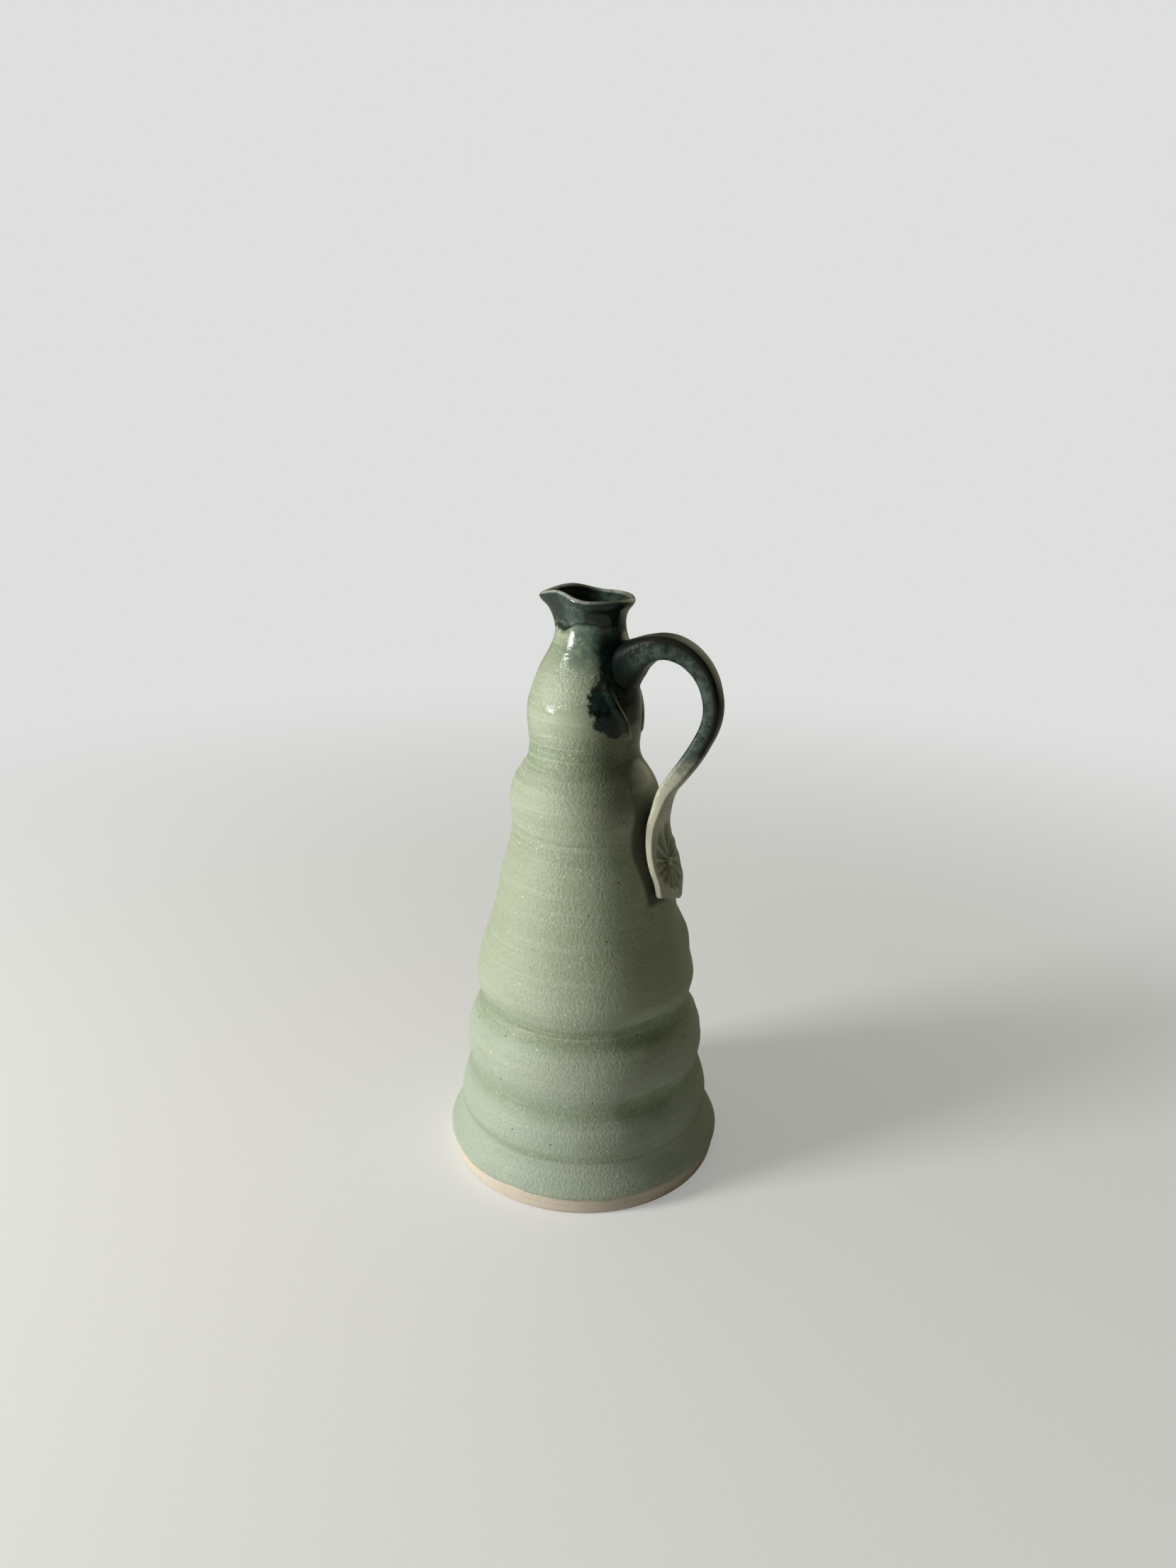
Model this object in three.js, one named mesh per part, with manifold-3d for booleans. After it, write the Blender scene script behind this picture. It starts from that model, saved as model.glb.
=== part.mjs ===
// A hand-thrown stoneware pitcher: a ringed cone with a pulled pouring lip, a pulled strap handle
// luted on with slip, and the glaze coats that cover them. Millimetres, +Z up. The origin is the
// middle of the foot, the handle is towards +X and the pouring lip towards -X.
import * as THREE from "three";
import { mergeVertices } from "three/addons/utils/BufferGeometryUtils.js";
import Module from "manifold-3d";

// The thrown clay, from the foot up: each station is its rise above the one below and its radius.
const FOOT_RADIUS = 57.2;
const BAND_TOP = { rise: 8, radius: 57.8 }; // the band below it stays bare
const SKIRT = { rise: 6, radius: 54.8 };
const SKIRT_TOP = { rise: 6, radius: 52.2 };
const RING_1 = { rise: 8, radius: 51.8 };
const GROOVE_1 = { rise: 14, radius: 48.2 };
const RING_2 = { rise: 10, radius: 49.0 };
const RING_2_TOP = { rise: 8, radius: 47.6 };
const GROOVE_2 = { rise: 12, radius: 43.1 };
const RING_3 = { rise: 10, radius: 45.0 };
const RING_3_TOP = { rise: 10, radius: 42.8 };
const CONE_LOW = { rise: 18, radius: 37.2 };
const CONE_HIGH = { rise: 20, radius: 33.0 };
const GROOVE_3 = { rise: 18, radius: 28.9 };
const RING_4 = { rise: 12, radius: 29.6 };
const RING_4_TOP = { rise: 8, radius: 27.0 };
const GROOVE_4 = { rise: 13, radius: 21.2 };
const RING_5 = { rise: 11, radius: 22.4 };
const RING_5_TOP = { rise: 8, radius: 20.6 };
const NECK_SHOULDER = { rise: 12, radius: 16.2 };
const NECK = { rise: 13, radius: 12.9 }; // the narrowest place
const LIP_FLARE = { rise: 8, radius: 14.7 };
const RIM_EDGE = { rise: 6, radius: 18.0 };
const FOOT_BEVEL = 1.6;
const FLOOR = 7;
const FLOOR_FILLET = 9;
const WALL_AT_FOOT = 6.5;
const WALL_AT_RIM = 2.2;
const LIP_ROUND = 0.8;

// The pouring lip, pulled out of the soft rim. Angles are in degrees from its tip.
const LIP_DEPTH = 15;
const LIP_REACH = 3.8;
const LIP_TIP_DROP = 1.8;
const LIP_TIP_ANGLE = 30;
const LOBE_RISE = 2.8;
const LOBE_PINCH = 2.2;
const LOBE_ANGLE = 58;
const LOBE_SPREAD_ANGLE = 27;

// The pulled strap: how far out from the axis, how far below the rim, how wide and how thick.
const STRAP_ROOT = { drop: 23, width: 23, thick: 18 };
const STRAP_ARCH = { out: 30, drop: 16.6, width: 13.5, thick: 10 };
const STRAP_SHOULDER = { out: 43.2, drop: 20.4, width: 12.4, thick: 8.2 };
const STRAP_OUTERMOST = { out: 51.8, drop: 36.5, width: 12, thick: 6.6 };
const STRAP_RETURN = { out: 46.8, drop: 53, width: 12.2, thick: 6 };
const STRAP_LANDING = { drop: 79, width: 17, thick: 5 };
const STRAP_STAMP = { drop: 105, width: 26, thick: 4.4 };
const STAMP_TO_TAIL_END = 14.5;
const TAIL_END_WIDTH = 22;
const ROOT_SINK = 5;
const SECTION_SQUARENESS = 0.72;

// The rosette pressed into the strap's tail: scoops between raised rays.
const ROSETTE_RAYS = 12;
const ROSETTE_RADIUS = 11.4;
const ROSETTE_HUB = 1.2;
const SCOOP_HALF_WIDTH = 2.1;
const SCOOP_DEPTH = 0.9;

// Layers and joints.
const SEAM = 0.3;
const GLAZE = 0.6;
const SLIP = 0.8;
const ROOT_SLIP_INSET = 2;
const TAIL_SLIP_WIDTH = 15;
const TAIL_SLIP_INSET = 3;
const GLAZE_BELOW_RIM = 1.4;
const LINER_BELOW_RIM = 3;

// The dark glaze: its edge round the neck, the run under the handle and its end on the strap, with
// the pale stretch of strap below that.
const DARK_EDGE_DROP = 17;
const DARK_RUN_LENGTH = 36;
const DARK_RUN_WIDTH = 34;
const DARK_RUN_CORNER = 9;
const STRAP_DARK_DROP = 60;
const STRAP_PALE_LENGTH = 7;

// Facets.
const TURN_FACETS = 36;
const LONGEST_STEP = 12.5;
const STRAP_STEPS = 28;
const STRAP_SIDES = 12;
const PAD_STEPS = 6;
const RUN_CORNER_STEPS = 3;
const SCOOP_FACETS = 8;
const SCOOP_STEPS = 4;
const SLOPE_REACH = 0.5;
const WELD = 1e-4;

// Offsets from the clay surface, layer by layer.
const CLAY_SURFACE = 0;
const COAT_INNER = CLAY_SURFACE + SEAM;
const COAT_OUTER = COAT_INNER + GLAZE;
const SLIP_OUTER = COAT_INNER + SLIP;
const STRAP_SEAT = SLIP_OUTER + SEAM;

const { clamp, lerp, radToDeg, smoothstep } = THREE.MathUtils;
const OUT = new THREE.Vector3(1, 0, 0);
const ACROSS = new THREE.Vector3(0, 1, 0);
const UP = new THREE.Vector3(0, 0, 1);
const manifold = await Module();
manifold.setup();

// Evenly spaced values between two ends, both included.
function spread(low, high, steps) {
  return Array.from({ length: steps + 1 }, (_, i) => lerp(low, high, i / steps));
}

function solidOf(geometry) {
  const bare = geometry.clone().deleteAttribute("normal").deleteAttribute("uv");
  const merged = mergeVertices(bare, WELD);
  return new manifold.Manifold(
    new manifold.Mesh({
      numProp: 3,
      vertProperties: merged.getAttribute("position").array,
      triVerts: new Uint32Array(merged.index.array),
    }),
  );
}

function geometryOf(solid) {
  const { vertProperties, triVerts } = solid.getMesh();
  const geometry = new THREE.BufferGeometry();
  geometry.setAttribute("position", new THREE.BufferAttribute(vertProperties, 3));
  geometry.setIndex(new THREE.BufferAttribute(triVerts, 1));
  geometry.computeVertexNormals();
  return geometry;
}

// Applies a change to each vertex of a geometry.
function reshape(geometry, change) {
  const position = geometry.getAttribute("position");
  const point = new THREE.Vector3();
  for (let i = 0; i < position.count; i++) {
    change(point.fromBufferAttribute(position, i), i);
    position.setXYZ(i, point.x, point.y, point.z);
  }
  return geometry;
}

// The lower wall and the upper wall, station by station. The inside is smoother than the outside,
// and follows only the stations listed for it.
const lowerWall = [BAND_TOP, SKIRT, SKIRT_TOP, RING_1, GROOVE_1, RING_2, RING_2_TOP, GROOVE_2, RING_3];
const cone = [RING_3_TOP, CONE_LOW, CONE_HIGH, GROOVE_3];
const upperWall = [RING_4, RING_4_TOP, GROOVE_4, RING_5];
const mouth = [RING_5_TOP, NECK_SHOULDER, NECK, LIP_FLARE, RIM_EDGE];
const wallStations = [...lowerWall, ...cone, ...upperWall, ...mouth];
const insideStations = [RING_1, GROOVE_1, GROOVE_2, ...cone, GROOVE_4, ...mouth];

// Heights of the stations, and the smooth wall through them.
const heightOf = new Map();
let climbed = 0;
for (const station of wallStations) {
  climbed += station.rise;
  heightOf.set(station, climbed);
}
const RIM = heightOf.get(RIM_EDGE);
const BAND = heightOf.get(BAND_TOP);
const wallSpline = new THREE.CubicInterpolant(
  [0, ...heightOf.values()],
  [FOOT_RADIUS, ...wallStations.map((station) => station.radius)],
  1,
);
const wallRadius = (z) => wallSpline.evaluate(clamp(z, 0, RIM))[0];
const insideRadius = (z) => wallRadius(z) - lerp(WALL_AT_FOOT, WALL_AT_RIM, z / RIM);

// A point of a section. Its level is the height on the wall that it belongs to, in every layer.
class SectionPoint extends THREE.Vector2 {
  constructor(radius, height, level = height) {
    super(radius, height);
    this.level = level;
  }
}

// A point on a section line, set off outwards along the line's own normal.
function sectionPoint(radiusAt, z, offset) {
  const slope = (radiusAt(z + SLOPE_REACH) - radiusAt(z - SLOPE_REACH)) / (2 * SLOPE_REACH);
  const normal = new THREE.Vector2(1, -slope).normalize();
  return new SectionPoint(radiusAt(z) + offset * normal.x, z + offset * normal.y, z);
}
const wallPoint = (z, offset) => sectionPoint(wallRadius, z, offset);
const insidePoint = (z, offset) => sectionPoint(insideRadius, z, -offset);

// Pulls the lip: near the rim the clay is drawn out at the tip, pinched beside it and lifted into
// two lobes. Layers at one level move alike, so they stay parallel.
function pullLip(point, level) {
  const bump = (angle, centre, width) => Math.exp(-(((angle - centre) / width) ** 2));
  const angle = radToDeg(Math.abs(Math.atan2(point.y, -point.x)));
  const share = smoothstep(level, RIM - LIP_DEPTH, RIM);
  const lobe = share * bump(angle, LOBE_ANGLE, LOBE_SPREAD_ANGLE);
  const tip = share * bump(angle, 0, LIP_TIP_ANGLE);
  const radius = Math.hypot(point.x, point.y);
  const outward = radius > 0 ? (LIP_REACH * tip - LOBE_PINCH * lobe) / radius : 0;
  point.x += outward * point.x;
  point.y += outward * point.y;
  point.z += LOBE_RISE * lobe - LIP_TIP_DROP * tip;
}

// Turns a section line about Z, then pulls the lip. The line starts and ends on the axis, and the
// vertices come one whole section at a time.
function turned(line) {
  const geometry = new THREE.LatheGeometry(line, TURN_FACETS);
  geometry.rotateX(Math.PI / 2);
  const pulled = reshape(geometry, (point, i) => pullLip(point, line[i % line.length].level));
  return solidOf(pulled);
}

// The levels where the outside is sampled: every station from the foot band up, with more between
// stations that are far apart, and the top edge of the glaze.
const coatTop = RIM - GLAZE_BELOW_RIM;
const stationLevels = [...heightOf.values()].filter((z) => z > BAND && z < coatTop);
const wallLevels = [BAND];
for (const z of [...stationLevels, coatTop, RIM]) {
  const low = wallLevels.at(-1);
  const steps = Math.ceil((z - low) / LONGEST_STEP);
  wallLevels.push(...spread(low, z, steps).slice(1));
}

// The levels where the inside is sampled, from the top of the floor's fillet, with the top edge of
// the liner.
const floorTop = FLOOR + FLOOR_FILLET;
const linerTop = RIM - LINER_BELOW_RIM;
const insideHeights = insideStations.map((station) => heightOf.get(station));
const midLevels = insideHeights.filter((z) => z > floorTop && z < linerTop);
const linerLevels = [floorTop, ...midLevels, linerTop];
const insideLevels = [...linerLevels, RIM];

// The solid within a surface at an offset from the clay, between the first and last level.
function wallCore(offset, levels) {
  const side = levels.map((z) => wallPoint(z, offset));
  const foot = side[0];
  const top = side.at(-1);
  const footMiddle = new SectionPoint(0, foot.y, foot.level);
  const topMiddle = new SectionPoint(0, top.y, top.level);
  return turned([footMiddle, ...side, topMiddle]);
}
const fullCore = (offset) => wallCore(offset, [0, ...wallLevels]);

// The solid that fills the hollow, set off inwards from the clay. An open one runs on past the rim.
function hollowCore(offset, levels, open) {
  const side = levels.map((z) => insidePoint(z, offset));
  const fillet = FLOOR_FILLET - offset;
  const centre = side[0].x - fillet;
  const diagonal = fillet * Math.SQRT1_2;
  const top = side.at(-1);
  const end = new SectionPoint(top.x, open ? top.y + LIP_DEPTH : top.y, top.level);
  return turned([
    new SectionPoint(0, floorTop - fillet),
    new SectionPoint(centre, floorTop - fillet),
    new SectionPoint(centre + diagonal, floorTop - diagonal),
    ...side,
    ...(open ? [end] : []),
    new SectionPoint(0, end.y, end.level),
  ]);
}

// The clay vessel: foot, floor, wall, neck and lip in one thrown piece.
function thrownBody() {
  const outside = turned([
    new SectionPoint(0, 0),
    new SectionPoint(wallRadius(0) - FOOT_BEVEL, 0),
    new SectionPoint(wallRadius(FOOT_BEVEL), FOOT_BEVEL),
    ...wallLevels.map((z) => wallPoint(z, CLAY_SURFACE)),
    new SectionPoint((wallRadius(RIM) + insideRadius(RIM)) / 2, RIM + LIP_ROUND),
    new SectionPoint(insideRadius(RIM), RIM),
    new SectionPoint(0, RIM),
  ]);
  return outside.subtract(hollowCore(CLAY_SURFACE, insideLevels, true));
}

// The strap's centre line and sizes, station by station. Its tail lies along the wall.
function strapStations() {
  const onWall = ({ drop, width, thick }) => {
    const seat = wallPoint(RIM - drop, STRAP_SEAT + thick / 2);
    return { x: seat.x, z: seat.y, width, thick };
  };
  const inAir = ({ out, drop, width, thick }) => ({ x: out, z: RIM - drop, width, thick });
  const rootHeight = RIM - STRAP_ROOT.drop;
  const root = { ...STRAP_ROOT, x: wallRadius(rootHeight) - ROOT_SINK, z: rootHeight - ROOT_SINK / 2 };
  const loop = [STRAP_ARCH, STRAP_SHOULDER, STRAP_OUTERMOST, STRAP_RETURN].map(inAir);
  const tailEnd = {
    drop: STRAP_STAMP.drop + STAMP_TO_TAIL_END,
    width: TAIL_END_WIDTH,
    thick: STRAP_STAMP.thick,
  };
  return [root, ...loop, onWall(STRAP_LANDING), onWall(STRAP_STAMP), onWall(tailEnd)];
}

const stations = strapStations();
const lastStation = stations.length - 1;
const ARCH_SHARE = 1 / lastStation;
const STAMP_SHARE = (lastStation - 1) / lastStation;
const strapPath = new THREE.CatmullRomCurve3(
  stations.map(({ x, z }) => new THREE.Vector3(x, 0, z)),
);
const strapSizes = new THREE.CatmullRomCurve3(
  stations.map(({ width, thick }) => new THREE.Vector3(width, thick, 0)),
);

// The strap's centre, outward normal, width and thickness at a share of its length.
function strapAt(share) {
  const centre = strapPath.getPoint(share);
  const outward = new THREE.Vector3().crossVectors(strapPath.getTangent(share), ACROSS);
  const { x: width, y: thick } = strapSizes.getPoint(share);
  return { centre, outward, width, thick };
}

// The share of the strap's length where it comes down past a drop below the rim.
function shareAtDrop(drop) {
  const fineSteps = 500;
  const shares = spread(ARCH_SHARE, 1, fineSteps);
  return shares.find((share) => strapPath.getPoint(share).z < RIM - drop);
}

// One ring of the strap's rounded section, grown evenly all round.
function strapRing(share, grow) {
  const { centre, outward, width, thick } = strapAt(share);
  const soften = (value) => Math.sign(value) * Math.abs(value) ** SECTION_SQUARENESS;
  return spread(0.5, STRAP_SIDES - 0.5, STRAP_SIDES - 1).map((side) => {
    const turn = (2 * Math.PI * side) / STRAP_SIDES;
    return centre
      .clone()
      .addScaledVector(ACROSS, soften(Math.cos(turn)) * (width / 2 + grow))
      .addScaledVector(outward, soften(Math.sin(turn)) * (thick / 2 + grow));
  });
}

// Skins a row of rings and closes both ends with a fan.
function loft(rings) {
  const sides = rings[0].length;
  const points = rings.flat();
  const index = [];
  for (let r = 0; r + 1 < rings.length; r++) {
    for (let s = 0; s < sides; s++) {
      const a = r * sides + s;
      const b = r * sides + ((s + 1) % sides);
      index.push(a, b, a + sides, b, b + sides, a + sides);
    }
  }
  const sum = (ring) => ring.reduce((total, point) => total.add(point), new THREE.Vector3());
  const lastRing = (rings.length - 1) * sides;
  const firstMiddle = points.push(sum(rings[0]).divideScalar(sides)) - 1;
  const lastMiddle = points.push(sum(rings.at(-1)).divideScalar(sides)) - 1;
  for (let s = 0; s < sides; s++) {
    const next = (s + 1) % sides;
    index.push(firstMiddle, next, s);
    index.push(lastMiddle, lastRing + s, lastRing + next);
  }
  const geometry = new THREE.BufferGeometry().setFromPoints(points);
  geometry.setIndex(index);
  return solidOf(geometry);
}

// The strap between two shares of its length.
function strapSolid(from, to, grow) {
  const steps = Math.ceil(STRAP_STEPS * (to - from));
  return loft(spread(from, to, steps).map((share) => strapRing(share, grow)));
}

// One scoop of the rosette: a tear drop with its point at the hub.
function scoop() {
  const length = ROSETTE_RADIUS - ROSETTE_HUB;
  const line = spread(0, 1, SCOOP_STEPS).map(
    (share) => new THREE.Vector2(SCOOP_HALF_WIDTH * Math.sin(Math.PI * share ** 2), length * share),
  );
  line.at(-1).x = 0;
  const geometry = new THREE.LatheGeometry(line, SCOOP_FACETS);
  geometry.scale(1, 1, SCOOP_DEPTH / SCOOP_HALF_WIDTH);
  return geometry.translate(0, ROSETTE_HUB, 0);
}

// All the scoops, laid on the outer face of the tail.
function rosette() {
  const { centre, outward, thick } = strapAt(STAMP_SHARE);
  const along = new THREE.Vector3().crossVectors(outward, ACROSS);
  const face = centre.clone().addScaledVector(outward, thick / 2);
  const place = new THREE.Matrix4().makeBasis(ACROSS, along, outward).setPosition(face);
  const turns = spread(0, 2 * Math.PI, ROSETTE_RAYS).slice(1);
  const scoops = turns.map((turn) => solidOf(scoop().rotateZ(turn).applyMatrix4(place)));
  return scoops.reduce((all, one) => all.add(one));
}

// The pad of slip under the tail, before it is trimmed to the wall and the strap.
function tailPad(grow) {
  const low = RIM - STRAP_STAMP.drop - STAMP_TO_TAIL_END + TAIL_SLIP_INSET;
  const high = RIM - STRAP_LANDING.drop;
  const half = TAIL_SLIP_WIDTH / 2 + grow;
  const rings = spread(low - grow, high + grow, PAD_STEPS).map((z) => {
    const inner = insideRadius(z);
    const outer = wallPoint(z, STRAP_SEAT + SEAM).x;
    return [
      new THREE.Vector3(inner, -half, z),
      new THREE.Vector3(outer, -half, z),
      new THREE.Vector3(outer, half, z),
      new THREE.Vector3(inner, half, z),
    ];
  });
  return loft(rings);
}

// The zone of the dark glaze: all of the neck above its edge, and a tongue that ran down under the
// handle.
function darkZone(grow) {
  const reach = FOOT_RADIUS;
  const edge = RIM - DARK_EDGE_DROP - grow;
  const above = RIM + LIP_DEPTH;
  const neckZone = new THREE.BoxGeometry(2 * reach, 2 * reach, above - edge);
  neckZone.translate(0, 0, (above + edge) / 2);
  const half = DARK_RUN_WIDTH / 2 + grow;
  const tip = edge - DARK_RUN_LENGTH;
  const tongue = new THREE.Shape()
    .moveTo(half, RIM)
    .lineTo(-half, RIM)
    .lineTo(-half, tip + DARK_RUN_CORNER)
    .absarc(DARK_RUN_CORNER - half, tip + DARK_RUN_CORNER, DARK_RUN_CORNER, Math.PI, 1.5 * Math.PI)
    .absarc(half - DARK_RUN_CORNER, tip + DARK_RUN_CORNER, DARK_RUN_CORNER, 1.5 * Math.PI, 2 * Math.PI);
  const run = new THREE.ExtrudeGeometry(tongue, {
    depth: reach,
    bevelEnabled: false,
    curveSegments: RUN_CORNER_STEPS,
  });
  run.translate(0, 0, -grow).applyMatrix4(new THREE.Matrix4().makeBasis(ACROSS, UP, OUT));
  return solidOf(neckZone).add(solidOf(run));
}

// A glaze sleeve on the strap between two shares of its length.
function strapSleeve(from, to) {
  const bore = strapSolid(0, 1, COAT_INNER);
  return strapSolid(from, to, COAT_OUTER).subtract(bore).subtract(fullCore(COAT_OUTER + SEAM));
}

const handle = strapSolid(0, 1, CLAY_SURFACE).subtract(fullCore(STRAP_SEAT)).subtract(rosette());
const rootSlip = strapSolid(0, ARCH_SHARE, -ROOT_SLIP_INSET)
  .intersect(fullCore(SLIP_OUTER))
  .subtract(fullCore(COAT_INNER));
const tailRoom = strapSolid(0, 1, SEAM).subtract(fullCore(SLIP_OUTER));
const tailSlip = tailPad(0).subtract(fullCore(COAT_INNER)).subtract(tailRoom);

const liner = hollowCore(COAT_INNER, linerLevels, false).subtract(
  hollowCore(COAT_OUTER, insideLevels, true),
);
const coat = wallCore(COAT_OUTER, wallLevels.slice(0, -1))
  .subtract(fullCore(COAT_INNER))
  .subtract(strapSolid(0, ARCH_SHARE, SEAM))
  .subtract(tailPad(SEAM));
const celadonCoat = coat.subtract(darkZone(SEAM));
const darkCoat = coat.intersect(darkZone(0));
const darkSleeve = strapSleeve(0, shareAtDrop(STRAP_DARK_DROP));
const celadonSleeve = strapSleeve(
  shareAtDrop(STRAP_DARK_DROP + SEAM),
  shareAtDrop(STRAP_DARK_DROP + STRAP_PALE_LENGTH),
);

const STONEWARE = { color: 0xd9c3a9, roughness: 0.85, metalness: 0 };
const DRIED_SLIP = { color: 0xcbb59b, roughness: 0.9, metalness: 0 };
const CELADON = { color: 0xa9bb9c, roughness: 0.3, metalness: 0 };
const DARK_GREEN = { color: 0x24413c, roughness: 0.18, metalness: 0 };
const LINER = { color: 0xb9c0ac, roughness: 0.2, metalness: 0 };

const pitcher = new THREE.Group();

function addPiece(name, solid, finish) {
  const mesh = new THREE.Mesh(geometryOf(solid), new THREE.MeshStandardMaterial(finish));
  mesh.name = name;
  pitcher.add(mesh);
}

addPiece("thrown_body", thrownBody(), STONEWARE);
addPiece("pulled_handle", handle, STONEWARE);
addPiece("root_slip_joint", rootSlip, DRIED_SLIP);
addPiece("tail_slip_joint", tailSlip, DRIED_SLIP);
addPiece("liner_glaze", liner, LINER);
addPiece("celadon_glaze", celadonCoat, CELADON);
addPiece("dark_glaze", darkCoat, DARK_GREEN);
addPiece("handle_dark_glaze", darkSleeve, DARK_GREEN);
addPiece("handle_celadon_glaze", celadonSleeve, CELADON);

export default pitcher;
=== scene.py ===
"""A thrown pottery pitcher with a ringed body, a pulled lip and a stamped strap handle."""
import math

import bpy
from bpy.props import FloatProperty, FloatVectorProperty, IntProperty, PointerProperty
from mathutils import Matrix, Vector


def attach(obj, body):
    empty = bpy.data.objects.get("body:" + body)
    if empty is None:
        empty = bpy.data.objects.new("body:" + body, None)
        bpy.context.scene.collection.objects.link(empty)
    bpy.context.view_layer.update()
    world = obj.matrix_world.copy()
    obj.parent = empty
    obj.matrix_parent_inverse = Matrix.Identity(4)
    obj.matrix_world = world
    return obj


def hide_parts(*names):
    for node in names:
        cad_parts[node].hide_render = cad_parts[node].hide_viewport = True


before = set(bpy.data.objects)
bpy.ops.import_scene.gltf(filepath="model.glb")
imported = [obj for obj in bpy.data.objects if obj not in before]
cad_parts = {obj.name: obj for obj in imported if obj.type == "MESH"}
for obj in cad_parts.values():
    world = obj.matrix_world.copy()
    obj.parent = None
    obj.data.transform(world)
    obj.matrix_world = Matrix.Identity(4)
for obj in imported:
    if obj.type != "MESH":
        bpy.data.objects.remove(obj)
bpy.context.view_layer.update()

bl_info = {
    "name": "Pottery Pitcher",
    "version": (1, 0, 0),
    "blender": (4, 5, 0),
    "location": "3D View > Sidebar > Pitcher",
    "description": "Throws, glazes and handles a stoneware pitcher",
    "category": "Object",
}

MM = 0.001
FULL_TURN = 2 * math.pi
MERGE = 1e-6

# The glazed wall from the bare foot up to the lip, as radius and height in millimetres.
GLAZED_WALL = (
    (57.9, 7.7),
    (58.35, 7.95),
    (58.55, 8.6),
    (58.1, 10.2),
    (55.9, 14),
    (53.3, 20),
    (52.7, 28),
    (49.1, 42),
    (49.9, 52),
    (48.6, 60),
    (44.1, 72),
    (45.9, 82),
    (43.8, 92),
    (38.2, 110),
    (34.0, 130),
    (29.8, 148),
    (30.5, 160),
    (28.6, 166.5),
    (26.4, 170.2),
    (23.4, 175),
    (22.2, 179.5),
    (22.5, 186),
    (22.8, 194),
    (22.4, 198.8),
    (21.1, 203.7),
    (19.9, 208.5),
    (18.4, 213.4),
    (16.6, 218),
    (14.5, 223.5),
    (13.8, 228),
    (15.0, 233.4),
    (18.3, 238.3),
)
# Over the lip and a little way down inside the mouth.
GLAZED_LIP = (
    (18.05, 239.2),
    (17.15, 239.75),
    (16.2, 239.3),
    (15.6, 238.2),
    (13.2, 234.4),
)
# The back of the coat under the lip, from the inside out.
LIP_BACK = (
    (13.75, 234.1),
    (16.2, 237.9),
    (17.1, 238.9),
    (17.6, 238.1),
)
# The liner from below the lip down to the middle of the floor.
LINED_WALL = (
    (12.9, 234.0),
    (12.0, 232.6),
    (9.6, 227),
    (12.6, 212),
    (16.8, 200),
    (17.0, 181),
    (24.1, 148),
    (27.9, 130),
    (31.8, 110),
    (37.0, 92),
    (37.0, 72),
    (41.5, 42),
    (44.9, 28),
    (46.6, 17),
    (44.2, 10.4),
    (38.0, 7.9),
    (22.0, 7.9),
)
FLOOR_HEIGHT = 7.9
# The bare clay foot, from the middle of the base out.
CLAY_FOOT = (
    (0, 0, "corner"),
    (55.4, 0, "corner"),
    (56.6, 0.5),
    (57.2, 1.8),
    (57.55, 5.0),
    (57.6, 8.0),
    (57.0, 10.4),
)
CLAY_LIP = (
    (17.4, 237.8),
    (17.05, 238.5),
    (16.5, 237.6),
)

# The way that the neck leans.
LEAN_WAY = (0.896, 0.443)
# Dents left by a finger in the grooves of the belly: angle, radius, height, depth.
FINGER_DENTS = (
    (-36, 44.1, 72, 0.7),
    (-23, 44.1, 72, 1.5),
    (-38, 49.1, 42, 0.6),
    (-25, 49.1, 42, 1.4),
)
# How far from a dent's middle the clay follows the finger, and how the glaze pools in the dent.
DENT_REACH = 11
DENT_FLATNESS = 1.8
DENT_POOL = 2.6
DENT_EDGE = (1.5, 6.5)
# Half the height over which a groove is told from a ring, and the heights where that is done.
GROOVE_REACH = 13
GROOVED_WALL = (20, 222)

# Heights over which the wall begins to stray from true round, and calms down towards the neck.
STRAY_FROM = (12, 34)
STRAY_TO = (205, 230)
NECK_STRAY = 0.5
STRAY_LUMPS = (("X", "stray_x", 70), ("Y", "stray_y", 55))
# Heights over which the shoulder and the neck lean.
SHOULDER_FROM = (110, 176)
SHOULDER_TO = (200, 219)
NECK_FROM = (210, 228)
# Pulls of a finger: the place, how far the clay follows, and the move.
CONE_BULGE = ((33.5, 18.5, 99), 13, (1.8, 1.0, 0))
FAR_RIM = ((17.5, 8.5, 239.0), 21, (-1.9, -0.9, -0.2))
ROOT_SWELL = ((16, 0, 208), 15, (1.8, 0, 0))
# Where the lip is held: radius, height, and how far the clay follows.
SPOUT_HOLD = (18.5, 238.5, 21)
LOBE_HOLD = (18, 239, 16)
LOBE_TURN = math.radians(48)

# The fine rings of the fingers: relief, pitch, tilt round the pot, drift in pitch, and strength.
RING_RELIEF = 0.27
RING_PITCH = 5.4
RING_TILT = 1.1
RING_TWIST = 0.07
RING_DRIFT = 2.2
RING_DRIFT_PACE = 0.19
RING_MEAN = 0.55
RING_SWELL = 0.45
RING_SWELL_PACE = 0.11
RING_SWELL_TURN = 1.3
RINGS_FROM = (16, 24)
RINGS_TO = (182, 190)
# How deep under the drawn wall a vertex still belongs to the coat's outer skin.
SKIN_DEPTH = 0.3
WIPED_DEPTH = 2.0
# The wiped ridge below the root: turn from the handle and height, then its size and bounds.
WIPE_PATH = ((44, 208), (35, 200), (24, 193), (19, 188))
WIPE_STEPS = 8
WIPE_RELIEF = 0.9
WIPE_EDGE = (0.2, 2.6)
WIPE_HEIGHTS = (186, 212)
WIPE_TURN = 60
WIPE_ARC = 0.38

# Steps of a smooth line between two knots.
BODY_STEPS = 4
COAT_STEPS = 8
LINER_STEPS = 5
PATH_STEPS = 24
# The sharpest turn, in degrees, that is still shaded smooth.
BODY_CREASE = 35
STRAP_CREASE = 50
# The clay follows the coat's line above this height, and its own foot below.
FOOT_TOP = 12
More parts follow.
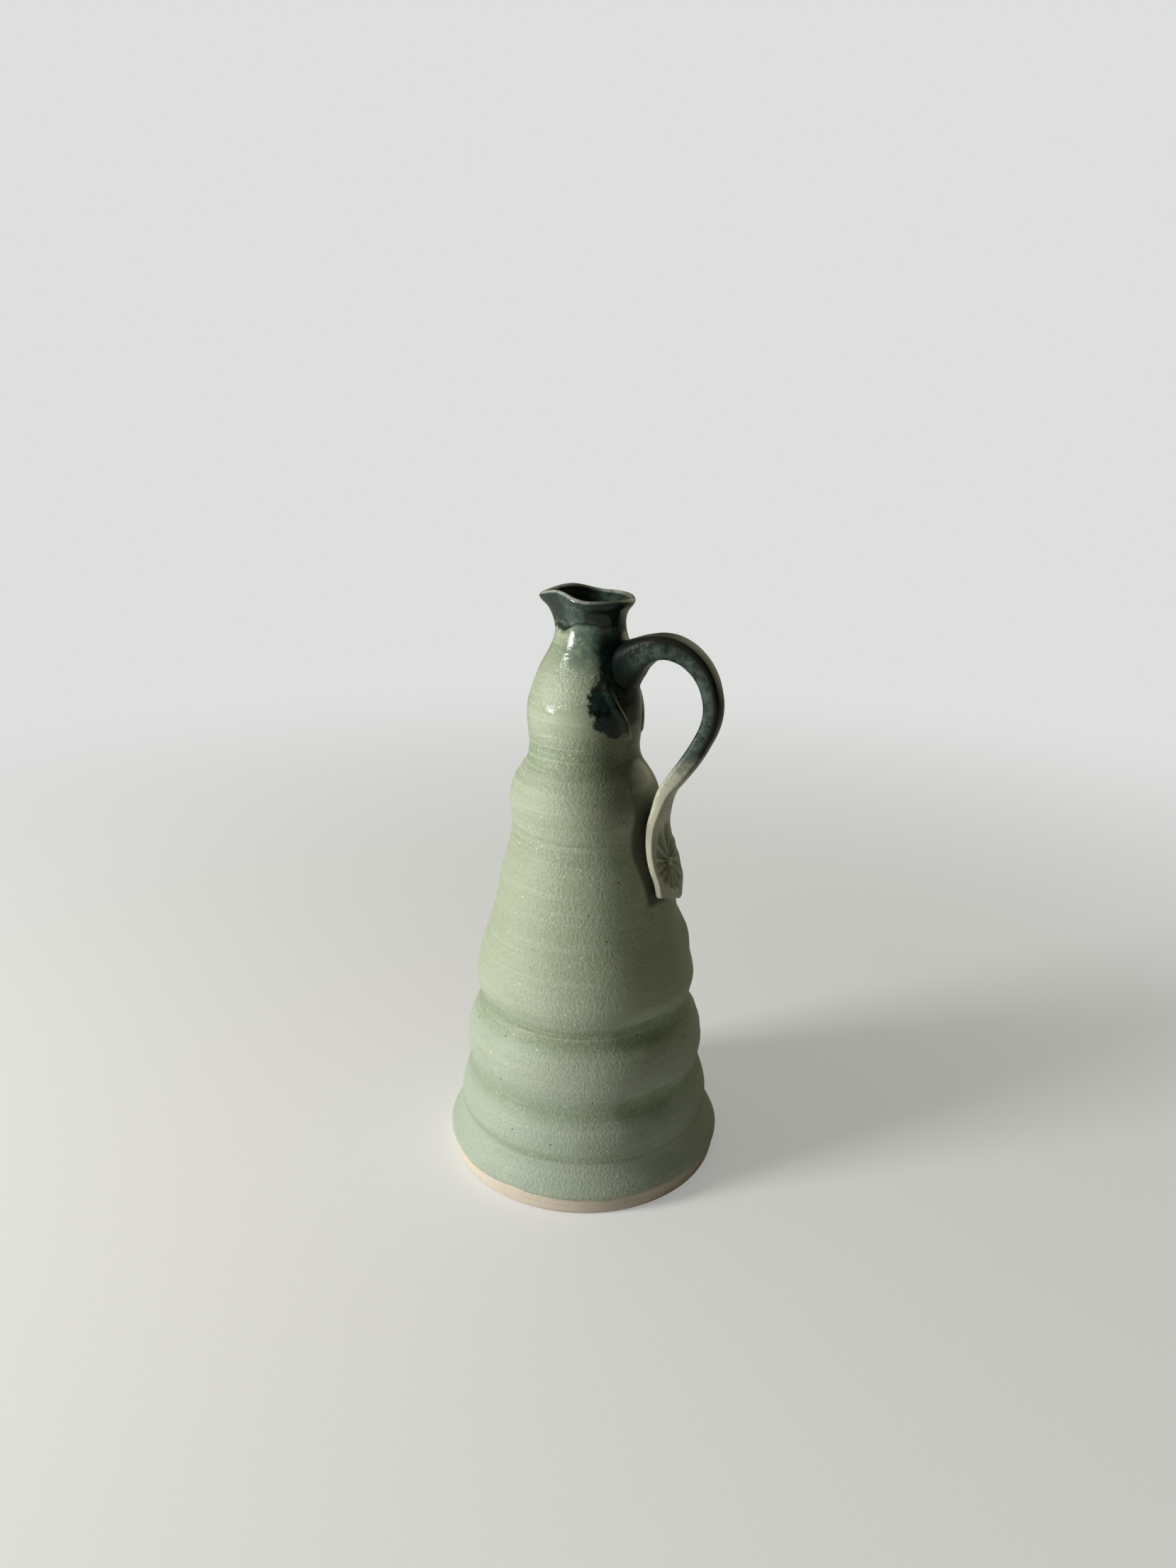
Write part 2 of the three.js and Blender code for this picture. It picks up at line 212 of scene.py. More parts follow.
# Heights where the coat and the strap are cut into a pale and a dark piece.
COAT_PARTING = 222
STRAP_PARTING = 176
# The crest of the lip, and the coat's lower edge with the size of its waves.
LIP_CREST = (238.4, 239.3)
GLAZE_EDGE = (9, 14)
GLAZE_EDGE_LUMPS = 11
# Where the glaze gathers beside the tail, with painted shade of the gap behind it: heights, distance from
# its outline, and fade at the top.
SEAM_HEIGHTS = (119, 172)
SEAM_WIDTH = (0.3, 2.2)
SEAM_TOP = (158, 170)

# The strap from its root in the neck to where it meets the wall: place out, height, width, thickness.
STRAP_LOOP = (
    (8.0, 210.0, 27.0, 27.0),
    (12.6, 212.2, 24.0, 23.0),
    (16.6, 215.0, 19.4, 17.4),
    (21.0, 218.4, 15.8, 12.6),
    (26.0, 221.2, 13.8, 10.0),
    (31.5, 222.6, 12.9, 8.7),
    (38.0, 221.7, 10.8, 8.1),
    (44.0, 218.3, 9.7, 7.5),
    (48.6, 213.0, 9.0, 6.9),
    (51.2, 206.5, 8.6, 6.4),
    (52.0, 200.6, 8.5, 6.2),
    (51.0, 194.2, 8.6, 6.1),
    (47.7, 186.7, 8.9, 6.1),
    (43.4, 179.2, 9.4, 6.2),
    (39.0, 172.6, 10.4, 5.8),
    (35.5, 166.6, 11.8, 5.0),
)
# The strap's tail down the wall: height, width, thickness, and how far it leans to the near side.
STRAP_TAIL = (
    (159, 13.4, 4.0, 5.0),
    (150, 17.1, 3.3, 3.9),
    (143, 21.6, 2.9, 2.4),
    (136, 23.8, 2.8, 1.1),
    (130.5, 23.4, 2.8, 0.4),
    (126.2, 20.6, 2.7, 1.4),
    (122.6, 16.0, 2.6, 3.8),
)
# The strap's mesh: facets over a face and half a corner, and steps along it.
STRAP_ACROSS = 56
STRAP_CORNER = 7
STRAP_STEP = 1.3
STAMP_STEP = 0.45
STAMP_ROOM = 24
LAST_STEP = 0.3
# Its round corners as shares of width and thickness, on the loop and at the root.
CORNER_OF_WIDTH = 0.22
CORNER_OF_THICKNESS = 0.32
CORNER_DEPTH = 0.3
ROOT_CORNER = 0.46
ROOT_DEPTH = 0.17
ROOT_SPAN = (8, 24)
# How far the lower loop leans to the near side.
LOOP_LEAN = 2.6
LOOP_LEAN_SPAN = (164, 177)
# The crown of its outer face, and the pressed edge beside the stamp, measured from the stamp.
CROWN = 0.6
CROWN_SPAN = (-30, -14)
SCALLOP = 6.6
SCALLOP_DEPTH = 0.45
SCALLOP_SPAN = (-16, -8)
# The radius that the tail is wrapped round, over a span measured from its landing.
TAIL_WRAP = 80.0
WRAP_SPAN = (-7, 5)
# The tail's end: its slant, and how it is rounded off.
END_SLANT = 0.38
SLANT_LENGTH = 18
END_ROUND = 0.9
END_NARROWS = 0.05
END_THINS = 0.16
# The rays of the stamp: reach, more reach upward, hollow, middle, taper, and fade at the far edge.
RAY_REACH = 13.0
RAY_REACH_UP = 7.0
RAY_POINT = 4
RAY_HOLLOW = 2.5
RAY_START = (0.5, 2.8)
RAY_TAPER = 0.7
RAY_FAR_EDGE = (0.5, 0.95)

# The pad of slip: facets, heights, half width, ends, and where it starts before it is laid on.
SLIP_FACETS = (18, 36)
SLIP_HEIGHTS = (128.0, 157.0)
SLIP_HALF_WIDTH = 4.0
SLIP_SPREAD = 3.4
SLIP_SPREAD_SPAN = (130, 158)
SLIP_ROUNDING = 6
SLIP_END = 0.05
SLIP_SIDE = -1.2
SLIP_START = 70
SLIP_SQUEEZE = 0.5
SLIP_EDGE = 0.4
SLIP_EDGE_STEPS = 2

# The sockets of a mix node that take and give colours.
COLOUR_A = 6
COLOUR_B = 7
COLOUR_MIXED = 2

# Noises: lumps to the millimetre, detail and roughness. Streaks: squeeze across and upright.
COARSE_PEBBLE = (2.0, 0.55)
FINE_PEBBLE = (2.0, 0.6)
FINE_TO_COARSE = 2.7
COARSE_SHARE = 0.7
FINE_SHARE = 0.3
LINE_STREAKS = (0.018, 0.75)
LINE_NOISE = (1.0, 3.0, 0.6)
CLOUD_STREAKS = (0.03, 0.06)
CLOUD_NOISE = (1.0, 4.0, 0.6)
DRIP_STREAKS = (0.2, 0.02)
DRIP_NOISE = (1.0, 2.0, 0.5)
WANDER_NOISE = (0.085, 3.0, 0.55)
JAGGED_NOISE = (0.45, 3.0, 0.6)
COAT_MOTTLE = (0.32, 4.0, 0.65)
STRAP_MOTTLE = (0.30, 4.0, 0.65)
GRIT_NOISE = (0.06, 4.0, 0.6)
FLOOR_NOISE = (0.35, 3.0, 0.6)
NOISE_MIDDLE = 0.5
# Specks in the glaze: cells to the millimetre, size in a cell, and the share of cells without one.
SPECKS = (("Dark speck", 0.16, 0.085, 0.6), ("Pale speck", 0.3, 0.125, 0.5))
SPECK_CORE = 0.5

# Pebbles to the millimetre, and relief as strength and depth, for each material.
CLAY_PEBBLE, CLAY_RELIEF = 1.6, (0.6, 0.35)
COAT_PEBBLE, COAT_RELIEF = 0.85, (1.0, 0.42)
LINER_PEBBLE, LINER_RELIEF = 0.8, (0.3, 0.25)
STRAP_PEBBLE, STRAP_RELIEF = 1.1, (0.5, 0.35)
SLIP_PEBBLE, SLIP_RELIEF = 1.2, (0.5, 0.4)
FLOOR_RELIEF = (0.15, 0.3)
# How strongly the coats mirror the room.
COAT_SPECULAR = 0.36
STRAP_SPECULAR = 0.18
FLOOR_ROUGHNESS = 0.85

# Fixed tints beside those that a user may change.
PALE_CLAY = (0.8, 0.74, 0.65, 1)
PALE_SPECK = (0.75, 0.75, 0.66, 1)
CREAM_EDGE = (0.33, 0.31, 0.22, 1)
CREAM_RIDGE = (0.62, 0.60, 0.50, 1)
FLOOR_GRIT = (0.58, 0.58, 0.57, 1)
FLOOR_SEEN = (0.98, 0.98, 0.97, 1)

# Fades: from and to of a height, of a turn from the handle in degrees or of a noise, then the
# least and the most effect where these aren't 0 and 1. Single numbers are shares of an effect.
# The bare clay.
TOASTED = (0.42, 0.72)
TOAST_SHARE = 0.35
SANDY = (0.38, 0.62)
SAND_SHARE = 0.3
# The foot's lowest 1.6 mm darkened: painted shade where the foot meets the floor.
FOOT_CONTACT_SHADE = (0.0, 1.6, 0.55, 0.0)
CLAY_ROUGHNESS = (0.3, 0.7, 0.7, 0.9)
CLAY_LINE_RELIEF = 1.2
# The celadon.
CONE_WARMTH = (40, 105)
GROOVE_POOL = (0.0, 2.6, 0.0, 1.0)
RING_THIN = (-0.2, -2.2, 0.0, 0.25)
LINE_THIN = (0.5, 0.7, 0.0, 0.62)
WAIST_FROM = (141, 147)
WAIST_TO = (156, 150)
WAIST_LINES = (0.36, 0.6, 0.1, 0.6)
CLOUD_POOL = (0.5, 0.25, 0.0, 0.4)
PEBBLE_THIN = (0.42, 0.66, 0.0, 0.42)
PEBBLE_POOL = (0.46, 0.28, 0.0, 0.5)
PALE_SPECK_SHARE = 0.8
DARK_SPECK_SHARE = 0.85
# The dark band beside the tail: glaze pooled there, and painted shade of the gap behind the tail.
SEAM_POOL_AND_SHADE_SHARE = 0.8
# Olive on the shoulder below the run, on the handle's side: partly a stain in the glaze, partly painted form
# shade.
STAIN_AND_SHADE_TURN = (88, 38)
STAIN_AND_SHADE_HEIGHT = (142, 170, 0.0, 0.55)
# The dark glaze poured on the neck: its edge wanders by millimetres and has a darker outline.
EDGE_WANDER = 11.0
EDGE_JAGGED = 7.0
POUR_EDGE = (226.8, 231.6)
POUR_SHARE = 0.97
OUTLINE_HEIGHT = 229.6
OUTLINE_WIDTH = (1.1, 0.25)
OUTLINE_SHARE = 0.9
MIST_HEIGHT = (206, 223)
MIST_TURN = (116, 74, 0.2, 1.0)
MIST_MOTTLE = (0.32, 0.6, 0.45, 1.0)
HANDLE_SIDE = (78, 50)
HANDLE_DARK = 0.85
SPOUT_SIDE = (98, 132, 0.0, 0.75)
WASH_FROM = (62, 82)
WASH_TO = (122, 100)
WASH_MOTTLE = (0.38, 0.62, 0.1, 0.42)
TEAL_MOTTLE = (0.42, 0.66)
TEAL_PEBBLE = (0.5, 0.68, 0.0, 0.09)
LIP_MOTTLE = (0.25, 0.6, 0.45, 1.0)
LIP_AT_HANDLE = 0.6
# The run under the handle: half its width as a share of RUN_TURN, from its bottom up.
RUN_JAGGED = 22.0
RUN_TURN = 100.0
RUN_HEIGHTS = (184, 226)
RUN_OUTLINE = (
    (0.0, 0.0),
    (0.05, 0.12),
    (0.11, 0.42),
    (0.2, 0.56),
    (0.36, 0.63),
    (0.49, 0.66),
    (0.64, 0.54),
    (1.0, 0.54),
)
RUN_SOFTNESS = (204, 218, 2.5, 9.0)
RUN_BOTTOM = (17, 33, 188.5, 186.5)
RUN_BOTTOM_SOFT = (16, 30, 5.0, 1.6)
RUN_DRIPS = 11.0
RUN_TOP = (222, 232, 1.0, 0.25)
RUN_MOTTLE = (0.46, 0.68, 0.0, 0.8)
SHEER_FROM = (9, 17)
SHEER_TO = (36, 27)
SHEER_HEIGHT = (208, 199, 0.0, 0.8)
SHEER_NEAR = (0.0, -3.0)
# The coat's roughness from the shoulder up, glossier under the handle.
SHEEN_HEIGHTS = (170, 230)
SHEEN = (
    (0.0, 0.5),
    (0.2, 0.46),
    (0.34, 0.08),
    (0.48, 0.08),
    (0.55, 0.4),
    (0.68, 0.36),
    (0.75, 0.07),
    (1.0, 0.07),
)
SHEEN_PEBBLE = (0.3, 0.7, -0.02, 0.06)
GLOSS_TURN = (46, 24)
GLOSS_HEIGHT = (162, 171)
GLOSS_SHARE = 0.75
COAT_LINE_RELIEF = 0.5
SMOOTH_RELIEF = (0.1, 0.42, 0.14, 1.0)
# The liner.
LINER_MIST = (215, 232)
# Paler towards the lip: the coat breaking over the edge, and painted light falling into the mouth.
LINER_FROST_AND_LIGHT = (228, 239, 0.0, 0.5)
LINER_LINES = (0.4, 0.7, 0.0, 0.6)
LINER_DARK = (0.5, 0.65, 0.0, 0.3)
LINER_ROUGHNESS = (0.3, 0.7, 0.08, 0.16)
# The strap: ash on its sides, rust on its ridges, black at its root, and the cream below.
STRAP_TEAL = (0.40, 0.66)
ASH_FROM_MOTTLE = 0.6
ASH_FROM_PEBBLE = 0.4
ASH_PATCHES = (0.36, 0.62, 0.1, 0.8)
ASH_EDGE = (0.15, 0.55)
BLACK_MOTTLE = 0.15
OUTER_FACE = (0.0, 0.4)
RIDGE = (0.1, 0.24)
RUST_SHARE = 0.35
ROOT_DARK = (25, 17)
ROOT_DULL = (25, 17, 0.0, 0.12)
UNDER_ROOT_HEIGHT = (215, 207)
UNDER_ROOT_OUT = (32, 27)
CREAM_MOTTLE = (0.35, 0.65, 0.0, 0.5)
STAMP_POOL = (0.1, 0.9, 0.0, 0.8)
CREAM_PEBBLE = (0.45, 0.3, 0.0, 0.4)
CREAM_EDGE_SHARE = 0.35
CREAM_RIDGE_SHARE = 0.5
CREAM_SPECK_SHARE = 0.9
CREAM_WANDER = 14.0
CREAM_TO_DARK = (168, 184)
STRAP_ROUGHNESS = (0.3, 0.7, 0.16, 0.32)
# The slip and the floor.
SLIP_MOTTLE = (0.35, 0.65)
SLIP_ROUGHNESS = (0.3, 0.7, 0.4, 0.6)
GRIT = (0.35, 0.7, 0.0, 0.12)
FLOOR_SEEN_SHARE = 0.85
FLOOR_FADE = (120, 900, 0.4, 1.0)

# The stage, in metres and watts.
FLOOR_SIDES = 96
FLOOR_RADIUS = 2.4
FLOOR_DROP = 0.02
WINDOW_TURN = math.radians(-135)
WINDOW_LIFT = math.radians(16)
WINDOW_AWAY = 1.3
WINDOW_AIM = (0, 0, 0.12)
WINDOW_SIZE = (0.34, 0.64)
WINDOW_POWER = 20.5
WINDOW_COLOUR = (1.0, 0.985, 0.96)
# The room's light: the way to its bright side, and to the back wall that only glossy coats mirror.
BRIGHT_WAY = (-0.6, 0.25, 0.76)
BRIGHT_LEVEL = (-0.25, 0.95, 0.01, 0.26)
BACK_WALL_WAY = (0.3, 0.88, 0.37)
BACK_WALL_LEVEL = (0.8, 0.95, 0.0, 0.8)
ROOM_COLOUR = (1.0, 0.96, 0.66, 1)
CAMERA_PLACE = (0.186, -0.3765, 0.301)
CAMERA_WAY = (-0.4206, 0.8522, -0.3113)
CAMERA_ROLL = math.radians(0.7)
CAMERA_LENS = 25.06
CAMERA_NEAR = 0.01


def shade(name, description, red, green, blue):
    """A colour that a user may change."""
    default = (red, green, blue, 1.0)
    return FloatVectorProperty(
        name=name, description=description, default=default, size=4, min=0, max=1, subtype="COLOR"
    )


def length(name, description, millimetres):
    """A length that a user may change, kept in metres."""
    default = millimetres * MM
    return FloatProperty(name=name, description=description, default=default, unit="LENGTH", precision=5)


class PitcherSizes(bpy.types.PropertyGroup):
    """Sizes of the pitcher."""

    sides: IntProperty(name="Sides", description="Facets round the pot", default=168, min=24)
    coat: length("Coat", "Thickness of the glaze", 0.55)
    seat: length("Seat", "Gap between the coat and the clay", 0.2)
    wobble: length("Wobble", "How far the wall strays from true round", 1.5)
    glaze_wave: length("Glaze wave", "How far the coat's lower edge wanders", 2.2)
    spout_reach: length("Spout reach", "How far the lip is pulled out", 3.0)
    spout_lift: length("Spout lift", "How far the pulled lip rises", 0.5)
    spout_turn: FloatProperty(
        name="Spout turn",
        description="How far the spout stands off the handle's line",
        default=0.24,
        subtype="ANGLE",
    )
    shoulder_lean: length("Shoulder lean", "How far the shoulder stands off the axis", 1.5)
    neck_lean: length("Neck lean", "How far the neck stands off the axis the other way", 1.4)
    lobe_rise: length("Lobe rise", "How far the lip rises beside the spout", 2.7)
    lobe_pinch: length("Lobe pinch", "How far the lip is pinched in beside the spout", 2.2)
    tail_gap: length("Tail gap", "Room for slip between the tail and the wall", 2.1)
    petals: IntProperty(name="Petals", description="Rays of the stamp on the tail", default=13, min=3)
    petal_depth: length("Petal depth", "Depth of the stamp on the tail", 1.5)
    stamp_height: length("Stamp height", "Height of the stamp's middle above the table", 136.6)
    stamp_side: length("Stamp side", "How far the stamp sits to the near side", -0.6)


class PitcherColours(bpy.types.PropertyGroup):
    """Colours of the clay, the glazes and the floor."""

    clay: shade("Clay", "Bare stoneware", 0.60, 0.53, 0.43)
    clay_dark: shade("Dark clay", "Toasted specks and hollows of the bare clay", 0.38, 0.29, 0.21)
    celadon_high: shade("Upper celadon", "Warm sage of the neck and cone", 0.318, 0.37, 0.258)
    celadon_low: shade("Lower celadon", "Cool sage of the belly rings", 0.34, 0.41, 0.325)
    celadon_thin: shade("Thin celadon", "Where the coat is thin over ridges", 0.42, 0.46, 0.36)
    celadon_pool: shade("Pooled celadon", "Where the coat pools in grooves", 0.22, 0.275, 0.175)
    iron: shade("Iron", "Dark specks in the glaze", 0.035, 0.03, 0.02)
    dark: shade("Dark glaze", "The thick dark green coat", 0.006, 0.012, 0.009)
    sheer: shade("Sheer dark glaze", "The olive run where the dark coat is thin", 0.045, 0.052, 0.028)
    teal: shade("Teal glaze", "The dark coat where it is thinner", 0.010, 0.048, 0.037)
    mist: shade("Misty glaze", "The blue green fade below the dark coat", 0.085, 0.13, 0.104)
    # Paler than the broken coat alone: part of it is a painted highlight along the rim.
    frost_and_glint: shade("Frosted glaze", "The dark coat where it breaks over edges", 0.38, 0.42, 0.38)
    ash: shade("Ash", "The grey bloom on the strap's sides", 0.07, 0.09, 0.077)
    rust: shade("Rust", "Where the dark coat is thin on the strap's ridges", 0.035, 0.022, 0.015)
    cream: shade("Cream glaze", "The pale coat of the lower strap", 0.54, 0.545, 0.42)
    cream_deep: shade("Deep cream glaze", "The pale coat where it pools", 0.25, 0.28, 0.2)
    liner: shade("Liner", "The coat inside", 0.10, 0.115, 0.075)
    floor: shade("Floor", "The floor under the pitcher", 0.80, 0.80, 0.79)
    backdrop: shade("Backdrop", "What the camera sees beyond the floor", 0.73, 0.74, 0.73)


def sizes():
    """The pitcher's sizes in this scene."""
    return bpy.context.scene.pitcher_sizes


def colours():
    """The pitcher's colours in this scene."""
    return bpy.context.scene.pitcher_colours


def let_go():
    """Leaves nothing selected, so that an operator touches only what comes next."""
    if bpy.context.object and bpy.context.object.mode != "OBJECT":
        bpy.ops.object.mode_set(mode="OBJECT")
    bpy.ops.object.select_all(action="DESELECT")


def take(piece):
    """Makes one piece the only selected and active one."""
    let_go()
    piece.select_set(True)
    bpy.context.view_layer.objects.active = piece


def draw_line(name, knots, steps, closed=False):
    """A smooth line through knots of radius and height, left as a mesh of edges."""
    let_go()
    bpy.ops.curve.primitive_bezier_curve_add()
    line = bpy.context.object
    line.name = name
    line.data.resolution_u = steps
    spline = line.data.splines[0]
    spline.use_cyclic_u = closed
    spline.bezier_points.add(len(knots) - len(spline.bezier_points))
    for point, knot in zip(spline.bezier_points, knots):
        kind = "VECTOR" if len(knot) > 2 else "AUTO"
        point.co = (knot[0] * MM, 0, knot[1] * MM)
        point.handle_left_type = kind
        point.handle_right_type = kind
    bpy.ops.object.convert(target="MESH")
    return bpy.context.object


def face_outward(piece):
    """Turns every face of a piece outward."""
    take(piece)
    bpy.ops.object.mode_set(mode="EDIT")
    bpy.ops.mesh.select_all(action="SELECT")
    bpy.ops.mesh.normals_make_consistent(inside=False)
    bpy.ops.object.mode_set(mode="OBJECT")


def spin_round(piece):
    """Spins a drawn line once round the pot's axis and closes the seam and the poles."""
    take(piece)
    bpy.ops.object.mode_set(mode="EDIT")
    bpy.ops.mesh.select_all(action="SELECT")
    bpy.ops.mesh.spin(steps=sizes().sides, angle=FULL_TURN, center=(0, 0, 0), axis=(0, 0, 1))
    bpy.ops.mesh.select_all(action="SELECT")
    bpy.ops.mesh.remove_doubles(threshold=MERGE)
    face_outward(piece)


def weigh(piece, name, weight_at):
    """A vertex group whose weights come from each vertex's place in millimetres."""
    group = piece.vertex_groups.new(name=name)
    for vertex in piece.data.vertices:
        weight = weight_at(vertex.co / MM)
        if weight > 0:
            group.add((vertex.index,), min(weight, 1.0), "REPLACE")
    return group.name


def note(piece, name, value_at):
    """A number on each vertex that a material can read."""
    attribute = piece.data.attributes.new(name, "FLOAT", "POINT")
    for vertex in piece.data.vertices:
        attribute.data[vertex.index].value = value_at(vertex.co / MM)


def work(piece, kind, **settings):
    """Works a piece with one modifier and keeps the result."""
    take(piece)
    modifier = piece.modifiers.new(kind.lower(), kind)
    for name, setting in settings.items():
        setattr(modifier, name, setting)
    bpy.ops.object.modifier_apply(modifier=modifier.name)


def push(piece, group, distance, direction="NORMAL", texture=None):
    """Moves a weighted group of vertices, evenly or by a cloud texture, and keeps the result."""
    how = {"vertex_group": group, "direction": direction, "strength": distance, "mid_level": 0.0}
    if texture:
        how.update(mid_level=NOISE_MIDDLE, texture=texture, texture_coords="LOCAL")
    work(piece, "DISPLACE", **how)


def pull(piece, group, centre, reach, move):
    """Pulls soft clay with a hook: all within reach of the centre follows, less with distance."""
    let_go()
    bpy.ops.object.empty_add(location=Vector(centre) * MM)
    finger = bpy.context.object
    bpy.context.view_layer.update()
    take(piece)
    hook = piece.modifiers.new("pull", "HOOK")
    hook.object = finger
    hook.vertex_group = group
    hook.center = finger.location
    hook.matrix_inverse = finger.matrix_world.inverted()
    hook.falloff_type = "SMOOTH"
    hook.falloff_radius = reach * MM
    finger.location += Vector(move)
    bpy.context.view_layer.update()
    bpy.ops.object.modifier_apply(modifier=hook.name)
    bpy.data.objects.remove(finger)


def cloud(name, size):
    """A soft cloud texture with lumps of about that size in millimetres."""
    texture = bpy.data.textures.get(name)
    if texture is None:
        texture = bpy.data.textures.new(name, "CLOUDS")
        texture.noise_scale = size * MM
    return texture


def rise(value, low, high):
    """Zero below low, one above high and smooth between."""
    share = min(max((value - low) / (high - low), 0.0), 1.0)
    return share * share * (3 - 2 * share)


def between(value, start, end, left=0.0):
    """Rises over the start, and sinks over the end to what is left."""
    return rise(value, *start) * (1 - (1 - left) * rise(value, *end))


def upright(height):
    """A vector straight up."""
    return Vector((0, 0, height))


def in_metres(parts):
    """A vector from millimetres."""
    return Vector([part * MM for part in parts])


def angle_of(place):
    """The angle round the pot in degrees, zero at the handle."""
    return math.degrees(math.atan2(place.y, place.x))


def shape_thrown_wall(piece):
    """Pulls the lip and lets the wall stray from true round, alike for the clay and its coats."""
    size = sizes()
    everywhere = weigh(piece, "everywhere", lambda place: 1.0)
    thrown = weigh(piece, "thrown", lambda place: between(place.z, STRAY_FROM, STRAY_TO, NECK_STRAY))
    for way, name, lump in STRAY_LUMPS:
        push(piece, thrown, size.wobble, way, cloud(name, lump))
    leaning = weigh(piece, "leaning", lambda place: between(place.z, SHOULDER_FROM, SHOULDER_TO))
    neck = weigh(piece, "neck", lambda place: rise(place.z, *NECK_FROM))
    for group, lean in ((leaning, -size.shoulder_lean), (neck, size.neck_lean)):
        push(piece, group, LEAN_WAY[0] * lean, "X")
        push(piece, group, LEAN_WAY[1] * lean, "Y")
    place, reach, move = CONE_BULGE
    pull(piece, everywhere, place, reach, in_metres(move))
    spout = Vector((-math.cos(size.spout_turn), -math.sin(size.spout_turn), 0))
    radius, height, reach = SPOUT_HOLD
    move = spout * size.spout_reach + upright(size.spout_lift)
    pull(piece, everywhere, radius * spout + upright(height), reach, move)
    radius, height, reach = LOBE_HOLD
    for side in (-1, 1):
        outward = Matrix.Rotation(side * LOBE_TURN, 3, "Z") @ spout
        move = -outward * size.lobe_pinch + upright(size.lobe_rise)
        pull(piece, everywhere, radius * outward + upright(height), reach, move)
    place, reach, move = FAR_RIM
    pull(piece, everywhere, place, reach, in_metres(move))
    for turn, radius, height, depth in FINGER_DENTS:
        inward = Vector((-math.cos(math.radians(turn)), -math.sin(math.radians(turn)), 0))
        pull(piece, everywhere, upright(height) - radius * inward, DENT_REACH, inward * depth * MM)


def keep_side(piece, height, keep_above):
    """Cuts a piece level at a height, keeps one side and closes the cut."""
    take(piece)
    bpy.ops.object.mode_set(mode="EDIT")
    bpy.ops.mesh.select_all(action="SELECT")
    bpy.ops.mesh.bisect(
        plane_co=(0, 0, height * MM),
        plane_no=(0, 0, 1),
        use_fill=True,
        clear_inner=keep_above,
        clear_outer=not keep_above,
        threshold=MERGE,
    )
    bpy.ops.object.mode_set(mode="OBJECT")


def copy_of(piece, name):
    """A copy of a piece with its own mesh."""
    take(piece)
    bpy.ops.object.duplicate(linked=False)
    twin = bpy.context.object
    twin.name = name
    return twin


def finish_piece(piece, material, nodes, crease=BODY_CREASE):
    """Smooths, paints and seats a finished piece on the pitcher's one body."""
    take(piece)
    bpy.ops.object.shade_smooth_by_angle(angle=math.radians(crease))
    piece.vertex_groups.clear()
    piece.data.materials.clear()
    piece.data.materials.append(material)
    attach(piece, "root")
    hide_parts(*nodes)


def plug(tree, value, socket):
    """Links a socket to a node's output, or sets it."""
    if isinstance(value, bpy.types.NodeSocket):
        tree.links.new(value, socket)
    else:
        socket.default_value = value


def add(tree, kind, values=None, **settings):
    """Adds a shader node with its settings and inputs."""
    node = tree.nodes.new("ShaderNode" + kind)
    for name, setting in settings.items():
        setattr(node, name, setting)
    for name, value in (values or {}).items():
        plug(tree, value, node.inputs[name])
    return node


def tree_of(*values):
    """The node tree that the first socket among some values belongs to."""
    return next(value.id_data for value in values if isinstance(value, bpy.types.NodeSocket))


def calc(operation, *values):
    """One step of arithmetic."""
    tree = tree_of(*values)
    node = add(tree, "Math", operation=operation)
    for value, socket in zip(values, node.inputs):
        plug(tree, value, socket)
    return node.outputs[0]


def times(first, *others):
    """Values multiplied together."""
    for other in others:
        first = calc("MULTIPLY", first, other)
    return first


def plus(first, second):
    """Two values added."""
    return calc("ADD", first, second)


def minus(first, second):
    """A value less another."""
    return calc("SUBTRACT", first, second)


def rest(share, part=1.0):
    """What is left of one after a part of a share."""
    return minus(1.0, times(share, part))


def swing(noise, reach):
    """A noise made to swing about zero."""
    return times(minus(noise, NOISE_MIDDLE), reach)


def fade(value, low, high, start=0.0, end=1.0):
    """A smooth change from start to end as a value goes from low to high."""
    inputs = {"Value": value, "From Min": low, "From Max": high, "To Min": start, "To Max": end}
    return add(tree_of(value), "MapRange", inputs, interpolation_type="SMOOTHSTEP").outputs[0]


def ramp(value, span, stops):
    """A value led through grey stops of place and level as it goes over a span."""
    tree = tree_of(value)
    inputs = {"Value": value, "From Min": span[0], "From Max": span[1]}
    node = add(tree, "ValToRGB", {0: add(tree, "MapRange", inputs).outputs[0]})
    elements = node.color_ramp.elements
    while len(elements) < len(stops):
        elements.new(1.0)
    for element, (place, level) in zip(elements, stops):
        element.position = place
        element.color = (level, level, level, 1)
    return node.outputs[0]


def blend(share, first, second):
    """A mix of two colours."""
    tree = tree_of(share, first, second)
    node = add(tree, "Mix", data_type="RGBA")
    plug(tree, share, node.inputs["Factor"])
    plug(tree, first, node.inputs[COLOUR_A])
    plug(tree, second, node.inputs[COLOUR_B])
    return node.outputs[COLOUR_MIXED]


def lumps(place, scale, detail, rough):
    """Soft noise whose scale is in lumps to the millimetre."""
    inputs = {"Vector": place, "Scale": scale, "Detail": detail, "Roughness": rough}
    return add(tree_of(place), "TexNoise", inputs).outputs["Fac"]


def stretched(place, across, upright):
    """Places squeezed, so that a noise runs in streaks."""
    inputs = {0: place, 1: (across, across, upright)}
    return add(tree_of(place), "VectorMath", inputs, operation="MULTIPLY").outputs[0]


def noted(tree, name):
    """A number that was noted on each vertex."""
    return add(tree, "Attribute", attribute_name=name).outputs["Fac"]


def millimetres(tree):
    """The piece's own coordinates in millimetres, and its x, y and z."""
    place = add(tree, "TexCoord").outputs["Object"]
    scaled = add(tree, "VectorMath", {0: place, "Scale": 1 / MM}, operation="SCALE").outputs[0]
    split = add(tree, "SeparateXYZ", {0: scaled})
    return scaled, split.outputs[0], split.outputs[1], split.outputs[2]


